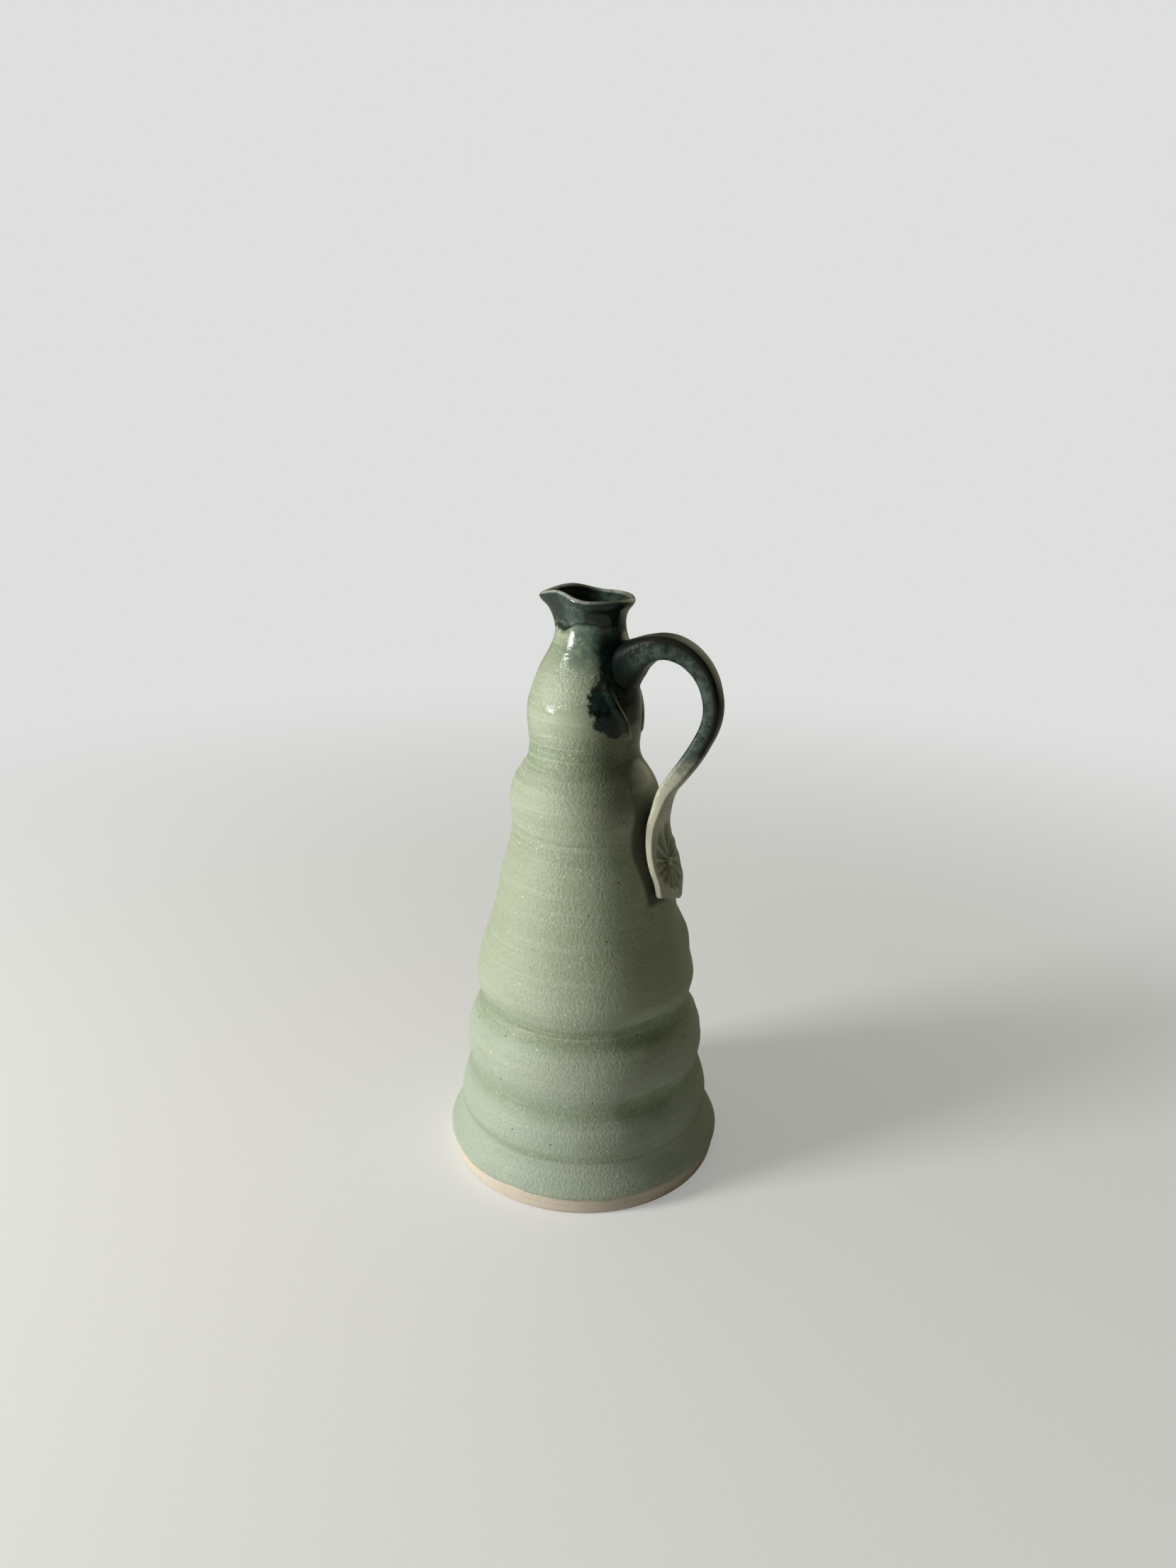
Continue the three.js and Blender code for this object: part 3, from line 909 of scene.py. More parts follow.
def new_group(name, inputs, outputs):
    """An empty shader node group with named sockets."""
    tree = bpy.data.node_groups.new(name, "ShaderNodeTree")
    for label, kind in inputs:
        tree.interface.new_socket(name=label, in_out="INPUT", socket_type="NodeSocket" + kind)
    for label in outputs:
        tree.interface.new_socket(name=label, in_out="OUTPUT", socket_type="NodeSocketFloat")
    return tree, tree.nodes.new("NodeGroupInput"), tree.nodes.new("NodeGroupOutput")


def grain_group():
    """Pebbled glaze: its height, dark specks and pale specks."""
    name = "pebbled_glaze"
    if name in bpy.data.node_groups:
        return bpy.data.node_groups[name]
    sockets = (("Place", "Vector"), ("Pebble", "Float"))
    tree, given, result = new_group(name, sockets, ("Height", "Dark speck", "Pale speck"))
    place = given.outputs["Place"]
    pebble = given.outputs["Pebble"]
    coarse = lumps(place, pebble, *COARSE_PEBBLE)
    fine = lumps(place, times(pebble, FINE_TO_COARSE), *FINE_PEBBLE)
    plug(tree, plus(times(coarse, COARSE_SHARE), times(fine, FINE_SHARE)), result.inputs["Height"])
    for label, scale, size, seldom in SPECKS:
        cells = add(tree, "TexVoronoi", {"Vector": place, "Scale": scale}, feature="F1")
        dot = fade(cells.outputs["Distance"], size * SPECK_CORE, size, 1.0, 0.0)
        pick = add(tree, "SeparateColor", {0: cells.outputs["Color"]}).outputs[0]
        plug(tree, times(dot, calc("GREATER_THAN", pick, seldom)), result.inputs[label])
    return tree


def streak_group():
    """Fine level lines left by the fingers while throwing."""
    name = "throwing_lines"
    if name in bpy.data.node_groups:
        return bpy.data.node_groups[name]
    tree, given, result = new_group(name, (("Place", "Vector"),), ("Lines", "Cloudy"))
    place = given.outputs["Place"]
    plug(tree, lumps(stretched(place, *LINE_STREAKS), *LINE_NOISE), result.inputs["Lines"])
    plug(tree, lumps(stretched(place, *CLOUD_STREAKS), *CLOUD_NOISE), result.inputs["Cloudy"])
    return tree


def use_group(group, **values):
    """Places a node group in a material."""
    tree = tree_of(*values.values())
    node = add(tree, "Group", node_tree=group)
    for name, value in values.items():
        plug(tree, value, node.inputs[name])
    return node.outputs


def new_material(name):
    """A material with one shader, and that shader."""
    material = bpy.data.materials.new(name)
    material.use_nodes = True
    return material, material.node_tree, material.node_tree.nodes["Principled BSDF"]


def paint(shader, colour, rough, relief, strength, depth):
    """Gives a shader its colour, its roughness and its relief, whose depth is in millimetres."""
    tree = shader.id_data
    plug(tree, colour, shader.inputs["Base Color"])
    plug(tree, rough, shader.inputs["Roughness"])
    inputs = {"Height": relief, "Strength": strength, "Distance": depth * MM}
    plug(tree, add(tree, "Bump", inputs).outputs[0], shader.inputs["Normal"])


def clay_material():
    """Bare sandy stoneware with toasted specks."""
    tint = colours()
    material, tree, shader = new_material("bare_stoneware")
    place, _, _, height = millimetres(tree)
    grain = use_group(grain_group(), Place=place, Pebble=CLAY_PEBBLE)
    lines = use_group(streak_group(), Place=place)["Lines"]
    colour = blend(times(fade(lines, *TOASTED), TOAST_SHARE), tint.clay, tint.clay_dark)
    pale = blend(SAND_SHARE, colour, PALE_CLAY)
    colour = blend(fade(grain["Height"], *SANDY), colour, pale)
    colour = blend(grain["Dark speck"], colour, tint.clay_dark)
    # Painted shade along the foot's lowest edge, where it meets the floor.
    colour = blend(fade(height, *FOOT_CONTACT_SHADE), colour, tint.clay_dark)
    rough = fade(grain["Height"], *CLAY_ROUGHNESS)
    paint(shader, colour, rough, plus(grain["Height"], times(lines, CLAY_LINE_RELIEF)), *CLAY_RELIEF)
    return material


def celadon_colour(height, pool, seam, grain, lines):
    """The sage coat: thin and pale on rings and lines, pooled in grooves, with specks of iron and painted
    shade beside the tail.
    """
    tint = colours()
    sage = blend(fade(height, *CONE_WARMTH), tint.celadon_low, tint.celadon_high)
    sage = blend(fade(pool, *GROOVE_POOL), sage, tint.celadon_pool)
    sage = blend(fade(pool, *RING_THIN), sage, tint.celadon_thin)
    sage = blend(fade(lines["Lines"], *LINE_THIN), sage, tint.celadon_thin)
    waist = times(fade(height, *WAIST_FROM), fade(height, *WAIST_TO), fade(lines["Lines"], *WAIST_LINES))
    sage = blend(waist, sage, tint.celadon_thin)
    sage = blend(fade(lines["Cloudy"], *CLOUD_POOL), sage, tint.celadon_pool)
    sage = blend(fade(grain["Height"], *PEBBLE_THIN), sage, tint.celadon_thin)
    sage = blend(fade(grain["Height"], *PEBBLE_POOL), sage, tint.celadon_pool)
    sage = blend(times(grain["Pale speck"], PALE_SPECK_SHARE), sage, PALE_SPECK)
    sage = blend(times(grain["Dark speck"], DARK_SPECK_SHARE), sage, tint.iron)
    # Iron-dark band beside the tail: pooled glaze and painted shade of the gap.
    return blend(times(seam, SEAM_POOL_AND_SHADE_SHARE), sage, tint.iron)


def run_share(place, height, turn):
    """Where the dark glaze has run down under the handle."""
    half_width = times(ramp(height, RUN_HEIGHTS, RUN_OUTLINE), RUN_TURN)
    softness = fade(height, *RUN_SOFTNESS)
    inside = fade(minus(half_width, turn), times(softness, -1.0), softness)
    drips = swing(lumps(stretched(place, *DRIP_STREAKS), *DRIP_NOISE), RUN_DRIPS)
    bottom = plus(fade(turn, *RUN_BOTTOM), drips)
    above = fade(minus(height, bottom), 0.0, fade(turn, *RUN_BOTTOM_SOFT))
    return times(inside, above, fade(height, *RUN_TOP))


def coat_material():
    """The outer coat: sage celadon, and the dark glaze poured on the neck, rim and handle."""
    tint = colours()
    material, tree, shader = new_material("celadon_and_dark_glaze")
    place, across, deep, height = millimetres(tree)
    grain = use_group(grain_group(), Place=place, Pebble=COAT_PEBBLE)
    lines = use_group(streak_group(), Place=place)
    jagged = lumps(place, *JAGGED_NOISE)
    mottle = lumps(place, *COAT_MOTTLE)
    edge = plus(height, swing(lumps(place, *WANDER_NOISE), EDGE_WANDER))
    turn = calc("ABSOLUTE", times(calc("ARCTAN2", deep, across), math.degrees(1)))
    handle_side = fade(turn, *HANDLE_SIDE)
    ragged_turn = plus(turn, swing(jagged, RUN_JAGGED))

    teal = blend(fade(mottle, *TEAL_MOTTLE), tint.dark, tint.teal)
    teal = blend(fade(grain["Height"], *TEAL_PEBBLE), teal, tint.mist)
    washed = times(fade(turn, *WASH_FROM), fade(turn, *WASH_TO), fade(mottle, *WASH_MOTTLE))
    teal = blend(washed, teal, tint.mist)
    teal = blend(fade(turn, *SPOUT_SIDE), teal, tint.dark)
    teal = blend(times(handle_side, HANDLE_DARK), teal, tint.dark)

    sage = celadon_colour(height, noted(tree, "pool"), noted(tree, "seam"), grain, lines)
    # Olive darkening below the run: a glaze stain and painted form shade.
    stain_and_shade = times(fade(ragged_turn, *STAIN_AND_SHADE_TURN), fade(height, *STAIN_AND_SHADE_HEIGHT))
    sage = blend(stain_and_shade, sage, tint.sheer)
    misty = times(fade(edge, *MIST_HEIGHT), fade(turn, *MIST_TURN), fade(mottle, *MIST_MOTTLE))
    colour = blend(misty, sage, tint.mist)
    poured = fade(plus(edge, swing(jagged, EDGE_JAGGED)), *POUR_EDGE)
    colour = blend(poured, colour, blend(POUR_SHARE, tint.mist, teal))
    outline = fade(calc("ABSOLUTE", minus(edge, OUTLINE_HEIGHT)), *OUTLINE_WIDTH)
    colour = blend(times(outline, OUTLINE_SHARE), colour, tint.dark)
    thick = blend(fade(mottle, *RUN_MOTTLE), tint.dark, tint.teal)
    sheer = times(fade(ragged_turn, *SHEER_FROM), fade(ragged_turn, *SHEER_TO))
    sheer = times(sheer, fade(height, *SHEER_HEIGHT), fade(deep, *SHEER_NEAR))
    thick = blend(sheer, thick, tint.sheer)
    colour = blend(run_share(place, height, ragged_turn), colour, thick)
    # The pale lip crest: glaze breaking over the edge, with a painted highlight along the rim.
    broken = times(noted(tree, "lip"), fade(mottle, *LIP_MOTTLE), rest(handle_side, LIP_AT_HANDLE))
    colour = blend(broken, colour, tint.frost_and_glint)

    rough = plus(ramp(height, SHEEN_HEIGHTS, SHEEN), fade(grain["Height"], *SHEEN_PEBBLE))
    glossy = times(fade(turn, *GLOSS_TURN), fade(height, *GLOSS_HEIGHT))
    rough = times(rough, rest(glossy, GLOSS_SHARE))
    relief = plus(grain["Height"], times(lines["Lines"], COAT_LINE_RELIEF))
    paint(shader, colour, rough, times(relief, fade(rough, *SMOOTH_RELIEF)), *COAT_RELIEF)
    shader.inputs["Specular IOR Level"].default_value = COAT_SPECULAR
    return material


def liner_material():
    """The coat inside, dark and glossy in the mouth, paler towards the lip with painted light."""
    tint = colours()
    material, tree, shader = new_material("liner_glaze")
    place, _, _, height = millimetres(tree)
    grain = use_group(grain_group(), Place=place, Pebble=LINER_PEBBLE)["Height"]
    lines = use_group(streak_group(), Place=place)["Lines"]
    colour = blend(fade(height, *LINER_MIST), tint.liner, tint.mist)
    # Painted light falling into the mouth, over the coat's pale break near the lip.
    colour = blend(fade(height, *LINER_FROST_AND_LIGHT), colour, tint.frost_and_glint)
    colour = blend(fade(lines, *LINER_LINES), colour, tint.celadon_pool)
    colour = blend(fade(grain, *LINER_DARK), colour, tint.dark)
    paint(shader, colour, fade(grain, *LINER_ROUGHNESS), grain, *LINER_RELIEF)
    return material


def strap_material():
    """The strap's coat: dark and mottled on the loop, pale cream on the stamped tail."""
    tint = colours()
    material, tree, shader = new_material("strap_glaze")
    place, out, _, height = millimetres(tree)
    grain = use_group(grain_group(), Place=place, Pebble=STRAP_PEBBLE)
    edge = noted(tree, "edge")
    outer = noted(tree, "outer")
    mottle = lumps(place, *STRAP_MOTTLE)
    ridge = fade(times(outer, rest(outer)), *RIDGE)

    dark = blend(fade(mottle, *STRAP_TEAL), tint.dark, tint.teal)
    patches = plus(times(mottle, ASH_FROM_MOTTLE), times(grain["Height"], ASH_FROM_PEBBLE))
    sides = blend(fade(patches, *ASH_PATCHES), dark, tint.ash)
    sides = blend(fade(edge, *ASH_EDGE), dark, sides)
    black = blend(BLACK_MOTTLE, tint.dark, dark)
    dark = blend(fade(outer, *OUTER_FACE), sides, black)
    dark = blend(times(ridge, RUST_SHARE), dark, tint.rust)
    dark = blend(fade(out, *ROOT_DARK), dark, tint.dark)
    under_root = times(fade(height, *UNDER_ROOT_HEIGHT), fade(out, *UNDER_ROOT_OUT))
    dark = blend(under_root, dark, tint.dark)

    cream = blend(fade(mottle, *CREAM_MOTTLE), tint.cream, tint.celadon_thin)
    cream = blend(fade(noted(tree, "stamp"), *STAMP_POOL), cream, tint.cream_deep)
    cream = blend(fade(grain["Height"], *CREAM_PEBBLE), cream, tint.cream_deep)
    cream = blend(times(edge, CREAM_EDGE_SHARE), cream, CREAM_EDGE)
    cream = blend(times(ridge, CREAM_RIDGE_SHARE), cream, CREAM_RIDGE)
    cream = blend(times(grain["Dark speck"], CREAM_SPECK_SHARE), cream, tint.iron)

    upper = fade(plus(height, swing(mottle, CREAM_WANDER)), *CREAM_TO_DARK)
    rough = plus(fade(grain["Height"], *STRAP_ROUGHNESS), fade(out, *ROOT_DULL))
    paint(shader, blend(upper, cream, dark), rough, grain["Height"], *STRAP_RELIEF)
    shader.inputs["Specular IOR Level"].default_value = STRAP_SPECULAR
    return material


def slip_material():
    """Dried slip squeezed out behind the tail."""
    tint = colours()
    material, tree, shader = new_material("joining_slip")
    grain = use_group(grain_group(), Place=millimetres(tree)[0], Pebble=SLIP_PEBBLE)["Height"]
    colour = blend(fade(grain, *SLIP_MOTTLE), tint.cream_deep, tint.celadon_pool)
    paint(shader, colour, fade(grain, *SLIP_ROUGHNESS), grain, *SLIP_RELIEF)
    return material


def floor_material():
    """A pale floor that runs into the backdrop's colour far from the pitcher."""
    tint = colours()
    material, tree, shader = new_material("pale_floor")
    place, across, deep, _ = millimetres(tree)
    seen = add(tree, "LightPath").outputs["Is Camera Ray"]
    colour = blend(fade(lumps(place, *GRIT_NOISE), *GRIT), tint.floor, FLOOR_GRIT)
    colour = blend(times(seen, FLOOR_SEEN_SHARE), colour, FLOOR_SEEN)
    paint(shader, colour, FLOOR_ROUGHNESS, lumps(place, *FLOOR_NOISE), *FLOOR_RELIEF)
    away = calc("SQRT", plus(times(across, across), times(deep, deep)))
    far = times(fade(away, *FLOOR_FADE), seen)
    glow = add(tree, "Emission", {"Color": tint.backdrop})
    mixed = add(tree, "MixShader", {0: far, 1: shader.outputs[0], 2: glow.outputs[0]})
    plug(tree, mixed.outputs[0], tree.nodes["Material Output"].inputs["Surface"])
    return material


def sunk(line, amount):
    """A line of radius and height moved towards the axis."""
    return tuple((radius - amount, height) for radius, height in line)


def wall_radius(height):
    """The glazed wall's radius at a height, straight between the drawn knots."""
    for (low_radius, low), (high_radius, high) in zip(GLAZED_WALL, GLAZED_WALL[1:]):
        if low <= height <= high:
            return low_radius + (high_radius - low_radius) * (height - low) / (high - low)
    return GLAZED_WALL[-1][0]


def along(knots, place):
    """A smooth value between knots of place and value."""
    last = len(knots) - 2
    index = max(i for i in range(last + 1) if knots[i][0] <= place or i == 0)
    (start, first), (end, second) = knots[index], knots[index + 1]
    before = knots[max(index - 1, 0)]
    after = knots[min(index + 2, last + 1)]
    span = end - start
    share = min(max((place - start) / span, 0.0), 1.0)
    slope_in = (second - before[1]) / (end - before[0]) * span
    slope_out = (after[1] - first) / (after[0] - start) * span
    square = share * share
    cube = square * share
    return (
        (2 * cube - 3 * square + 1) * first
        + (cube - 2 * square + share) * slope_in
        + (3 * square - 2 * cube) * second
        + (cube - square) * slope_out
    )


def pooled(place):
    """How far the wall lies in a groove: positive in grooves and negative on rings."""
    if not GROOVED_WALL[0] < place.z < GROOVED_WALL[1]:
        return 0.0
    around = (wall_radius(place.z - GROOVE_REACH) + wall_radius(place.z + GROOVE_REACH)) / 2
    dent = 0.0
    for turn, radius, height, depth in FINGER_DENTS:
        across = math.radians(angle_of(place) - turn) * radius / DENT_FLATNESS
        away = math.hypot(across, place.z - height)
        dent = max(dent, DENT_POOL * depth * (1 - rise(away, *DENT_EDGE)))
    return around - wall_radius(place.z) + dent


def beside_tail(place):
    """How close the wall is to the tail's outline, where the glaze gathers and the gap's shade is painted:
    one at the edge.
    """
    if not SEAM_HEIGHTS[0] < place.z < SEAM_HEIGHTS[1] or place.x < 0:
        return 0.0
    half_widths = [(-knot[0], knot[1] / 2) for knot in STRAP_TAIL]
    leans = [(-knot[0], knot[3]) for knot in STRAP_TAIL]
    off = math.radians(angle_of(place)) * math.hypot(place.x, place.y) + along(leans, -place.z)
    beyond = max(abs(off) - along(half_widths, -place.z), STRAP_TAIL[-1][0] - place.z)
    return (1 - rise(beyond, *SEAM_WIDTH)) * (1 - rise(place.z, *SEAM_TOP))


def in_skin(place, depth):
    """Whether a place lies in the outer skin of the coat."""
    return math.hypot(place.x, place.y) >= wall_radius(place.z) - depth


def ring_skin(coat):
    """Raises the fine rings that the fingers leave on the wall, on the coat's outer skin only."""

    def ring(place):
        if not in_skin(place, SKIN_DEPTH):
            return 0.0
        turn = math.radians(angle_of(place))
        level = place.z + RING_TILT * math.sin(turn + RING_TWIST * place.z)
        drift = RING_DRIFT * math.sin(RING_DRIFT_PACE * level)
        wave = math.sin(FULL_TURN * level / RING_PITCH + drift)
        swell = math.sin(RING_SWELL_PACE * level + RING_SWELL_TURN * math.sin(2 * turn))
        strength = RING_MEAN + RING_SWELL * swell
        return (1 + wave) / 2 * strength * between(place.z, RINGS_FROM, RINGS_TO)

    push(coat, weigh(coat, "rings", ring), RING_RELIEF * MM)


def wipe_root(coat):
    """Wipes clay from the handle's root down the shoulder, with a swelling and a ridge."""
    outer = weigh(coat, "outer", lambda place: 1.0 if in_skin(place, WIPED_DEPTH) else 0.0)
    place, reach, move = ROOT_SWELL
    pull(coat, outer, place, reach, in_metres(move))
    path = []
    for (first_turn, first), (last_turn, last) in zip(WIPE_PATH, WIPE_PATH[1:]):
        for step in range(WIPE_STEPS + 1):
            share = step / WIPE_STEPS
            path.append((first_turn + (last_turn - first_turn) * share, first + (last - first) * share))

    def ridge(place):
        turn = abs(angle_of(place))
        if not WIPE_HEIGHTS[0] < place.z < WIPE_HEIGHTS[1] or turn >= WIPE_TURN:
            return 0.0
        away = min(math.hypot((turn - knot[0]) * WIPE_ARC, place.z - knot[1]) for knot in path)
        return 1 - rise(away, *WIPE_EDGE)

    push(coat, weigh(coat, "wiped", ridge), WIPE_RELIEF * MM)


def strap_section(width, thickness, crown, root):
    """The strap's section with round corners: across, outward, how round, and how far it faces out."""
    corner_wide = min(CORNER_OF_WIDTH * width, CORNER_OF_THICKNESS * thickness) * (1 - root)
    corner_wide += ROOT_CORNER * width * root
    corner_thick = (CORNER_DEPTH + ROOT_DEPTH * root) * thickness
    flat = width / 2 - corner_wide
    section = []

    def face(side):
        facing = 1.0 if side > 0 else 0.0
        for step in range(STRAP_ACROSS + 1):
            across = side * flat * (2 * step / STRAP_ACROSS - 1)
            lift = crown * (1 - (across / (width / 2)) ** 2) * facing
            section.append((across, side * thickness / 2 + lift, 0.0, facing))

    def corner(side):
        for step in range(1, 2 * STRAP_CORNER):
            turn = math.pi * step / (2 * STRAP_CORNER)
            up = math.cos(turn) * side
            facing = max(0.0, up)
            lift = crown * (1 - (flat / (width / 2)) ** 2) * facing
            outward = thickness / 2 - corner_thick + corner_thick * abs(up)
            outward = 0.0 if step == STRAP_CORNER else math.copysign(outward, up)
            beyond = flat + corner_wide * math.sin(turn)
            section.append((side * beyond, outward + lift, math.sin(turn), facing))

    for side in (1, -1):
        face(side)
        corner(side)
    return section


def petal(across, up):
    """How deep the stamp bites, from 0 to 1, at a place from its middle."""
    away = math.hypot(across, up)
    turn = math.atan2(across, up)
    reach = RAY_REACH + RAY_REACH_UP * max(0.0, math.cos(turn)) ** RAY_POINT
    spread = turn / FULL_TURN * sizes().petals
    off_middle = 2 * abs(spread - round(spread))
    hollow = 1 - off_middle ** RAY_HOLLOW
    return hollow * rise(away, *RAY_START) * (1 - rise(away, RAY_TAPER * reach, reach))


def draw_strap_path(points):
    """The curve that the strap is bent along, and how far along it each knot lies, in millimetres."""
    let_go()
    bpy.ops.curve.primitive_bezier_curve_add()
    path = bpy.context.object
    path.data.resolution_u = PATH_STEPS
    spline = path.data.splines[0]
    spline.bezier_points.add(len(points) - len(spline.bezier_points))
    for point, place in zip(spline.bezier_points, points):
        point.co = place * MM
        point.handle_left_type = "AUTO"
        point.handle_right_type = "AUTO"
    straight = [0.0]
    for first, second in zip(points, points[1:]):
        straight.append(straight[-1] + (second - first).length)
    bpy.context.view_layer.update()
    stretch = spline.calc_length() / MM / straight[-1]
    return path, [place * stretch for place in straight]


def shape_strap(mesh, stations, spans, landing, stamp_place):
    """Moves a flat grid's vertices to the strap's sections, and notes edge, stamp and outer face."""
    size = sizes()
    edge, stamp, outer = (mesh.attributes.new(name, "FLOAT", "POINT") for name in ("edge", "stamp", "outer"))
    total = stations[-1]
    index = 0
    for station in stations:
        ahead = station - stamp_place
        end_round = rise(station, total - END_ROUND, total)
        scallop = SCALLOP_DEPTH * math.cos(FULL_TURN * ahead / SCALLOP) * rise(ahead, *SCALLOP_SPAN)
        width, thick, lean = (along(span, station) for span in spans)
        width *= 1 - END_NARROWS * end_round
        thick *= 1 - END_THINS * end_round
        crown = CROWN * (1 - rise(ahead, *CROWN_SPAN))
        wrap = rise(station - landing, *WRAP_SPAN) / (2 * TAIL_WRAP)
        slant = END_SLANT * rise(station, total - SLANT_LENGTH, total)
        section = strap_section(width, thick, crown, 1 - rise(station, *ROOT_SPAN))
        for across, outward, rounding, facing in section + section[:1]:
            far = 2 * across / width
            across += lean + scallop * max(0.0, far)
            depth = petal(across + size.stamp_side / MM, -ahead) * facing * (1 - rise(far, *RAY_FAR_EDGE))
            outward -= depth * size.petal_depth / MM + wrap * across * across
            mesh.vertices[index].co = Vector((across, outward, station + slant * (across - lean))) * MM
            edge.data[index].value = rounding
            stamp.data[index].value = depth
            outer.data[index].value = facing
            index += 1


def roll_strap(stations, spans, landing, stamp_place):
    """A straight strap, rolled up from a flat grid, its ends closed and its tail stamped."""
    ring = 2 * (STRAP_ACROSS + 1) + 2 * (2 * STRAP_CORNER - 1)
    let_go()
    bpy.ops.mesh.primitive_grid_add(x_subdivisions=ring, y_subdivisions=len(stations) - 1, size=1)
    strap = bpy.context.object
    strap.name = "pale_strap"
    shape_strap(strap.data, stations, spans, landing, stamp_place)
    take(strap)
    bpy.ops.object.mode_set(mode="EDIT")
    bpy.ops.mesh.select_all(action="SELECT")
    bpy.ops.mesh.remove_doubles(threshold=MERGE)
    bpy.ops.mesh.select_all(action="DESELECT")
    bpy.ops.mesh.select_mode(type="EDGE")
    bpy.ops.mesh.select_non_manifold(extend=False)
    bpy.ops.mesh.edge_face_add()
    face_outward(strap)
    return strap


def lay_floor():
    """A wide round floor with its rim rolled down out of sight."""
    let_go()
    bpy.ops.mesh.primitive_circle_add(
        vertices=FLOOR_SIDES, radius=FLOOR_RADIUS, fill_type="NGON", enter_editmode=True
    )
    bpy.ops.mesh.extrude_region_move(TRANSFORM_OT_translate={"value": (0, 0, -FLOOR_DROP)})
    bpy.ops.object.mode_set(mode="OBJECT")
    floor = bpy.context.object
    floor.name = "floor"
    face_outward(floor)
    floor.data.materials.append(floor_material())


def aim(thing, target):
    """Turns a light or a camera towards a point."""
    thing.rotation_euler = (Vector(target) - thing.location).to_track_quat("-Z", "Y").to_euler()


def hang_window():
    """A tall soft light like a window, to the left and in front."""
    let_go()
    level = math.cos(WINDOW_LIFT)
    way = Vector((math.cos(WINDOW_TURN) * level, math.sin(WINDOW_TURN) * level, math.sin(WINDOW_LIFT)))
    bpy.ops.object.light_add(type="AREA", location=way * WINDOW_AWAY + Vector(WINDOW_AIM))
    window = bpy.context.object
    window.name = "window_light"
    window.data.shape = "RECTANGLE"
    window.data.size, window.data.size_y = WINDOW_SIZE
    window.data.energy = WINDOW_POWER
    window.data.color = WINDOW_COLOUR
    aim(window, WINDOW_AIM)


def towards(way, direction):
    """How far a view points in a direction."""
    return add(tree_of(way), "VectorMath", {0: way, 1: direction}, operation="DOT_PRODUCT").outputs["Value"]


def light_room(scene):
    """Weak light from the room, brighter behind and to the left, with the backdrop for the camera."""
    world = bpy.data.worlds.new("room")
    scene.world = world
    world.use_nodes = True
    tree = world.node_tree
    way = add(tree, "TexCoord").outputs["Generated"]
    seen_by = add(tree, "LightPath").outputs
    mirrored = times(seen_by["Is Glossy Ray"], fade(towards(way, BACK_WALL_WAY), *BACK_WALL_LEVEL))
    level = plus(fade(towards(way, BRIGHT_WAY), *BRIGHT_LEVEL), mirrored)
    room = add(tree, "Background", {"Color": ROOM_COLOUR, "Strength": level})
    view = add(tree, "Background", {"Color": colours().backdrop, "Strength": 1.0})
    mixed = add(tree, "MixShader", {0: seen_by["Is Camera Ray"], 1: room.outputs[0], 2: view.outputs[0]})
    plug(tree, mixed.outputs[0], tree.nodes["World Output"].inputs["Surface"])


def set_camera(scene):
    """A camera at the photograph's height and angle."""
    let_go()
    bpy.ops.object.camera_add(location=CAMERA_PLACE)
    camera = bpy.context.object
    camera.name = "camera"
    camera.data.lens = CAMERA_LENS
    level = Vector(CAMERA_WAY).to_track_quat("-Z", "Y").to_matrix()
    camera.rotation_euler = (level @ Matrix.Rotation(CAMERA_ROLL, 3, "Z")).to_euler()
    camera.data.clip_start = CAMERA_NEAR
    scene.camera = camera


class PITCHER_OT_throw_body(bpy.types.Operator):
    """Throw the clay body: foot, wall, lip, inside and floor in one line spun round the axis"""

    bl_idname = "pitcher.throw_body"
    bl_label = "Throw Body"

    def execute(self, context):
        size = sizes()
        under = (size.coat + size.seat) / MM
        outside = tuple(knot for knot in sunk(GLAZED_WALL, under) if knot[1] > FOOT_TOP)
        inside = []
        for radius, height in sunk(LINED_WALL[2:], -under):
            inside.append((radius, height - under if height <= FLOOR_HEIGHT else height))
        floor = ((0, FLOOR_HEIGHT - under, "corner"),)
        line = CLAY_FOOT + outside[:-1] + CLAY_LIP + tuple(inside) + floor
        body = draw_line("clay_body", line, BODY_STEPS)
        spin_round(body)
        shape_thrown_wall(body)
        finish_piece(body, clay_material(), ("thrown_body",))
        return {"FINISHED"}


class PITCHER_OT_glaze_outside(bpy.types.Operator):
    """Glaze the outside: one closed coat, cut into the celadon and the dark coat"""

    bl_idname = "pitcher.glaze_outside"
    bl_label = "Glaze Outside"

    def execute(self, context):
        size = sizes()
        back = tuple(reversed(sunk(GLAZED_WALL[2:-1], size.coat / MM)))
        line = GLAZED_WALL + GLAZED_LIP + LIP_BACK + back
        coat = draw_line("celadon_coat", line, COAT_STEPS, closed=True)
        spin_round(coat)
        note(coat, "lip", lambda place: rise(place.z, *LIP_CREST))
        note(coat, "pool", pooled)
        note(coat, "seam", beside_tail)
        shape_thrown_wall(coat)
        wave = weigh(coat, "wave", lambda place: 1 - rise(place.z, *GLAZE_EDGE))
        push(coat, wave, size.glaze_wave, "Z", cloud("glaze_line", GLAZE_EDGE_LUMPS))
        ring_skin(coat)
        wipe_root(coat)
        dark = copy_of(coat, "dark_coat")
        keep_side(coat, COAT_PARTING, keep_above=False)
        keep_side(dark, COAT_PARTING, keep_above=True)
        glaze = coat_material()
        finish_piece(coat, glaze, ("celadon_glaze",))
        finish_piece(dark, glaze, ("dark_glaze",))
        return {"FINISHED"}


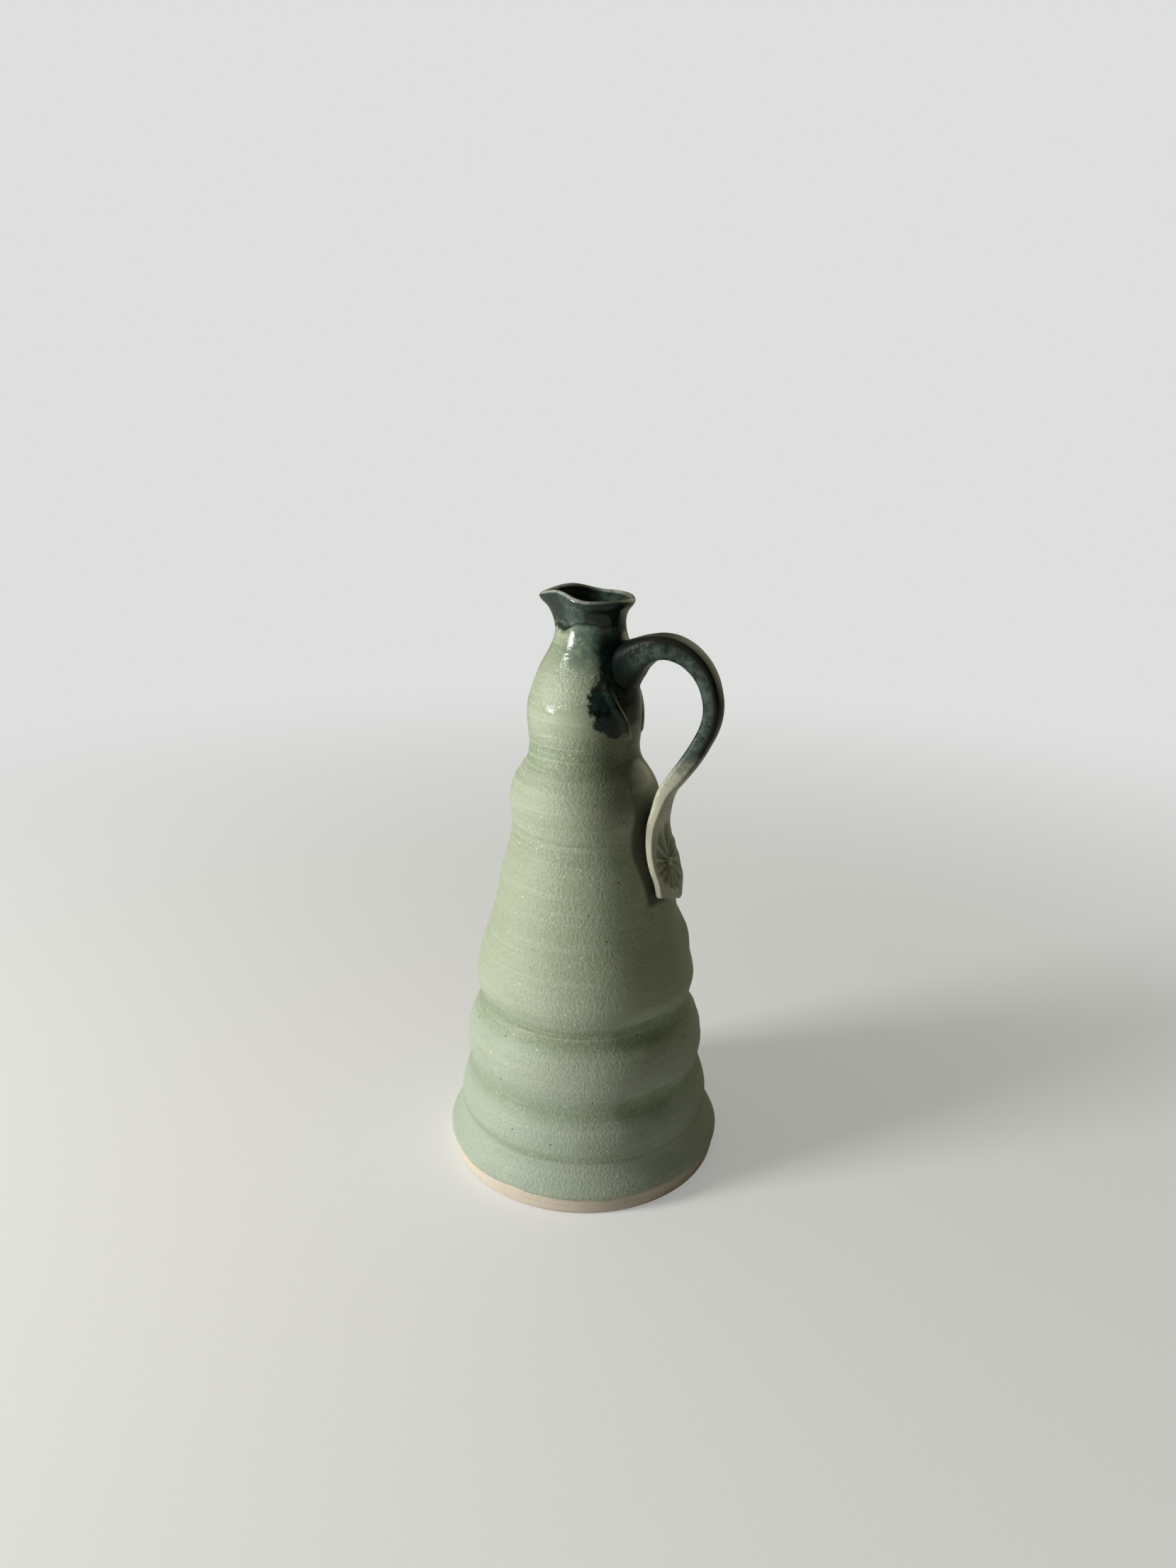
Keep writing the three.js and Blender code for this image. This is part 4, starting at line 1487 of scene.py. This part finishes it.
class PITCHER_OT_glaze_inside(bpy.types.Operator):
    """Line the inside with glaze"""

    bl_idname = "pitcher.glaze_inside"
    bl_label = "Glaze Inside"

    def execute(self, context):
        coat = sizes().coat / MM
        floor = ((0, FLOOR_HEIGHT, "corner"), (0, FLOOR_HEIGHT - coat, "corner"))
        back = []
        for radius, height in reversed(LINED_WALL):
            on_floor = height <= FLOOR_HEIGHT
            back.append((radius, height - coat) if on_floor else (radius + coat, height))
        liner = draw_line("inner_coat", floor[1:] + tuple(back) + LINED_WALL + floor[:1], LINER_STEPS)
        spin_round(liner)
        shape_thrown_wall(liner)
        finish_piece(liner, liner_material(), ("liner_glaze",))
        return {"FINISHED"}


class PITCHER_OT_pull_handle(bpy.types.Operator):
    """Pull the strap straight, stamp its tail, then bend it along its path"""

    bl_idname = "pitcher.pull_handle"
    bl_label = "Pull Handle"

    def execute(self, context):
        size = sizes()
        knots = []
        for out, height, width, thick in STRAP_LOOP:
            lean = rise(height, *LOOP_LEAN_SPAN) * LOOP_LEAN - LOOP_LEAN
            knots.append((Vector((out, 0, height)), width, thick, lean))
        for height, width, thick, lean in STRAP_TAIL:
            out = wall_radius(height) + size.tail_gap / MM + thick / 2
            knots.append((Vector((out, 0, height)), width, thick, -lean))
        path, places = draw_strap_path([knot[0] for knot in knots])
        total = places[-1]
        spans = [[(place, knot[i]) for place, knot in zip(places, knots)] for i in (1, 2, 3)]
        landing = places[len(STRAP_LOOP)]
        landing_height = knots[len(STRAP_LOOP)][0].z
        drop = landing_height - size.stamp_height / MM
        stamp_place = landing + drop * (total - landing) / (landing_height - knots[-1][0].z)

        stations = [0.0]
        while stations[-1] < total - LAST_STEP:
            step = STAMP_STEP if stations[-1] > stamp_place - STAMP_ROOM else STRAP_STEP
            stations.append(min(stations[-1] + step, total))
        strap = roll_strap(stations, spans, landing, stamp_place)
        work(strap, "CURVE", object=path, deform_axis="POS_Z")
        bpy.data.objects.remove(path)
        dark = copy_of(strap, "dark_strap")
        keep_side(strap, STRAP_PARTING, keep_above=False)
        keep_side(dark, STRAP_PARTING, keep_above=True)
        glaze = strap_material()
        finish_piece(strap, glaze, ("pulled_handle", "handle_celadon_glaze"), STRAP_CREASE)
        finish_piece(dark, glaze, ("handle_dark_glaze", "root_slip_joint"), STRAP_CREASE)
        return {"FINISHED"}


class PITCHER_OT_slip_tail(bpy.types.Operator):
    """Spread the slip that holds the tail to the wall"""

    bl_idname = "pitcher.slip_tail"
    bl_label = "Slip Tail"

    def execute(self, context):
        let_go()
        across, upward = SLIP_FACETS
        bpy.ops.mesh.primitive_grid_add(
            x_subdivisions=across, y_subdivisions=upward, size=1, location=(0, 0, 0)
        )
        slip = bpy.context.object
        slip.name = "tail_slip"
        low, high = SLIP_HEIGHTS
        for vertex in slip.data.vertices:
            height = low + (high - low) * (vertex.co.y + 0.5)
            half_width = SLIP_HALF_WIDTH + SLIP_SPREAD * (1 - rise(height, *SLIP_SPREAD_SPAN))
            end = math.sqrt(max(SLIP_END, 1 - abs(2 * vertex.co.y) ** SLIP_ROUNDING))
            side = 2 * vertex.co.x * half_width * end + SLIP_SIDE
            vertex.co = Vector((SLIP_START, side, height)) * MM
        work(
            slip,
            "SHRINKWRAP",
            target=bpy.data.objects["celadon_coat"],
            wrap_method="PROJECT",
            use_project_x=True,
            use_project_y=False,
            use_project_z=False,
            use_negative_direction=True,
            use_positive_direction=False,
        )
        face_outward(slip)
        outward = 1.0 if slip.data.polygons[0].normal.x > 0 else -1.0
        work(slip, "SOLIDIFY", thickness=sizes().tail_gap + SLIP_SQUEEZE * MM, offset=outward)
        work(slip, "BEVEL", width=SLIP_EDGE * MM, segments=SLIP_EDGE_STEPS)
        finish_piece(slip, slip_material(), ("tail_slip_joint",))
        return {"FINISHED"}


class PITCHER_OT_set_stage(bpy.types.Operator):
    """Lay the floor, hang the lights and set the camera"""

    bl_idname = "pitcher.set_stage"
    bl_label = "Set Stage"

    def execute(self, context):
        scene = context.scene
        scene.view_settings.view_transform = "Standard"
        lay_floor()
        hang_window()
        light_room(scene)
        set_camera(scene)
        return {"FINISHED"}


class PITCHER_PT_bench(bpy.types.Panel):
    """The potter's bench in the sidebar"""

    bl_label = "Pottery Pitcher"
    bl_space_type = "VIEW_3D"
    bl_region_type = "UI"
    bl_category = "Pitcher"

    def draw(self, context):
        for step in STEPS:
            self.layout.operator(step.bl_idname)
        for group in (context.scene.pitcher_sizes, context.scene.pitcher_colours):
            box = self.layout.box()
            for name in group.__annotations__:
                box.prop(group, name)


STEPS = (
    PITCHER_OT_throw_body,
    PITCHER_OT_glaze_outside,
    PITCHER_OT_glaze_inside,
    PITCHER_OT_pull_handle,
    PITCHER_OT_slip_tail,
    PITCHER_OT_set_stage,
)
CLASSES = (PitcherSizes, PitcherColours) + STEPS + (PITCHER_PT_bench,)


def register():
    for kind in CLASSES:
        bpy.utils.register_class(kind)
    bpy.types.Scene.pitcher_sizes = PointerProperty(type=PitcherSizes)
    bpy.types.Scene.pitcher_colours = PointerProperty(type=PitcherColours)


def unregister():
    del bpy.types.Scene.pitcher_colours
    del bpy.types.Scene.pitcher_sizes
    for kind in reversed(CLASSES):
        bpy.utils.unregister_class(kind)


def main():
    register()
    bpy.ops.pitcher.throw_body()
    bpy.ops.pitcher.glaze_outside()
    bpy.ops.pitcher.glaze_inside()
    bpy.ops.pitcher.pull_handle()
    bpy.ops.pitcher.slip_tail()
    bpy.ops.pitcher.set_stage()


if __name__ == "__main__":
    main()
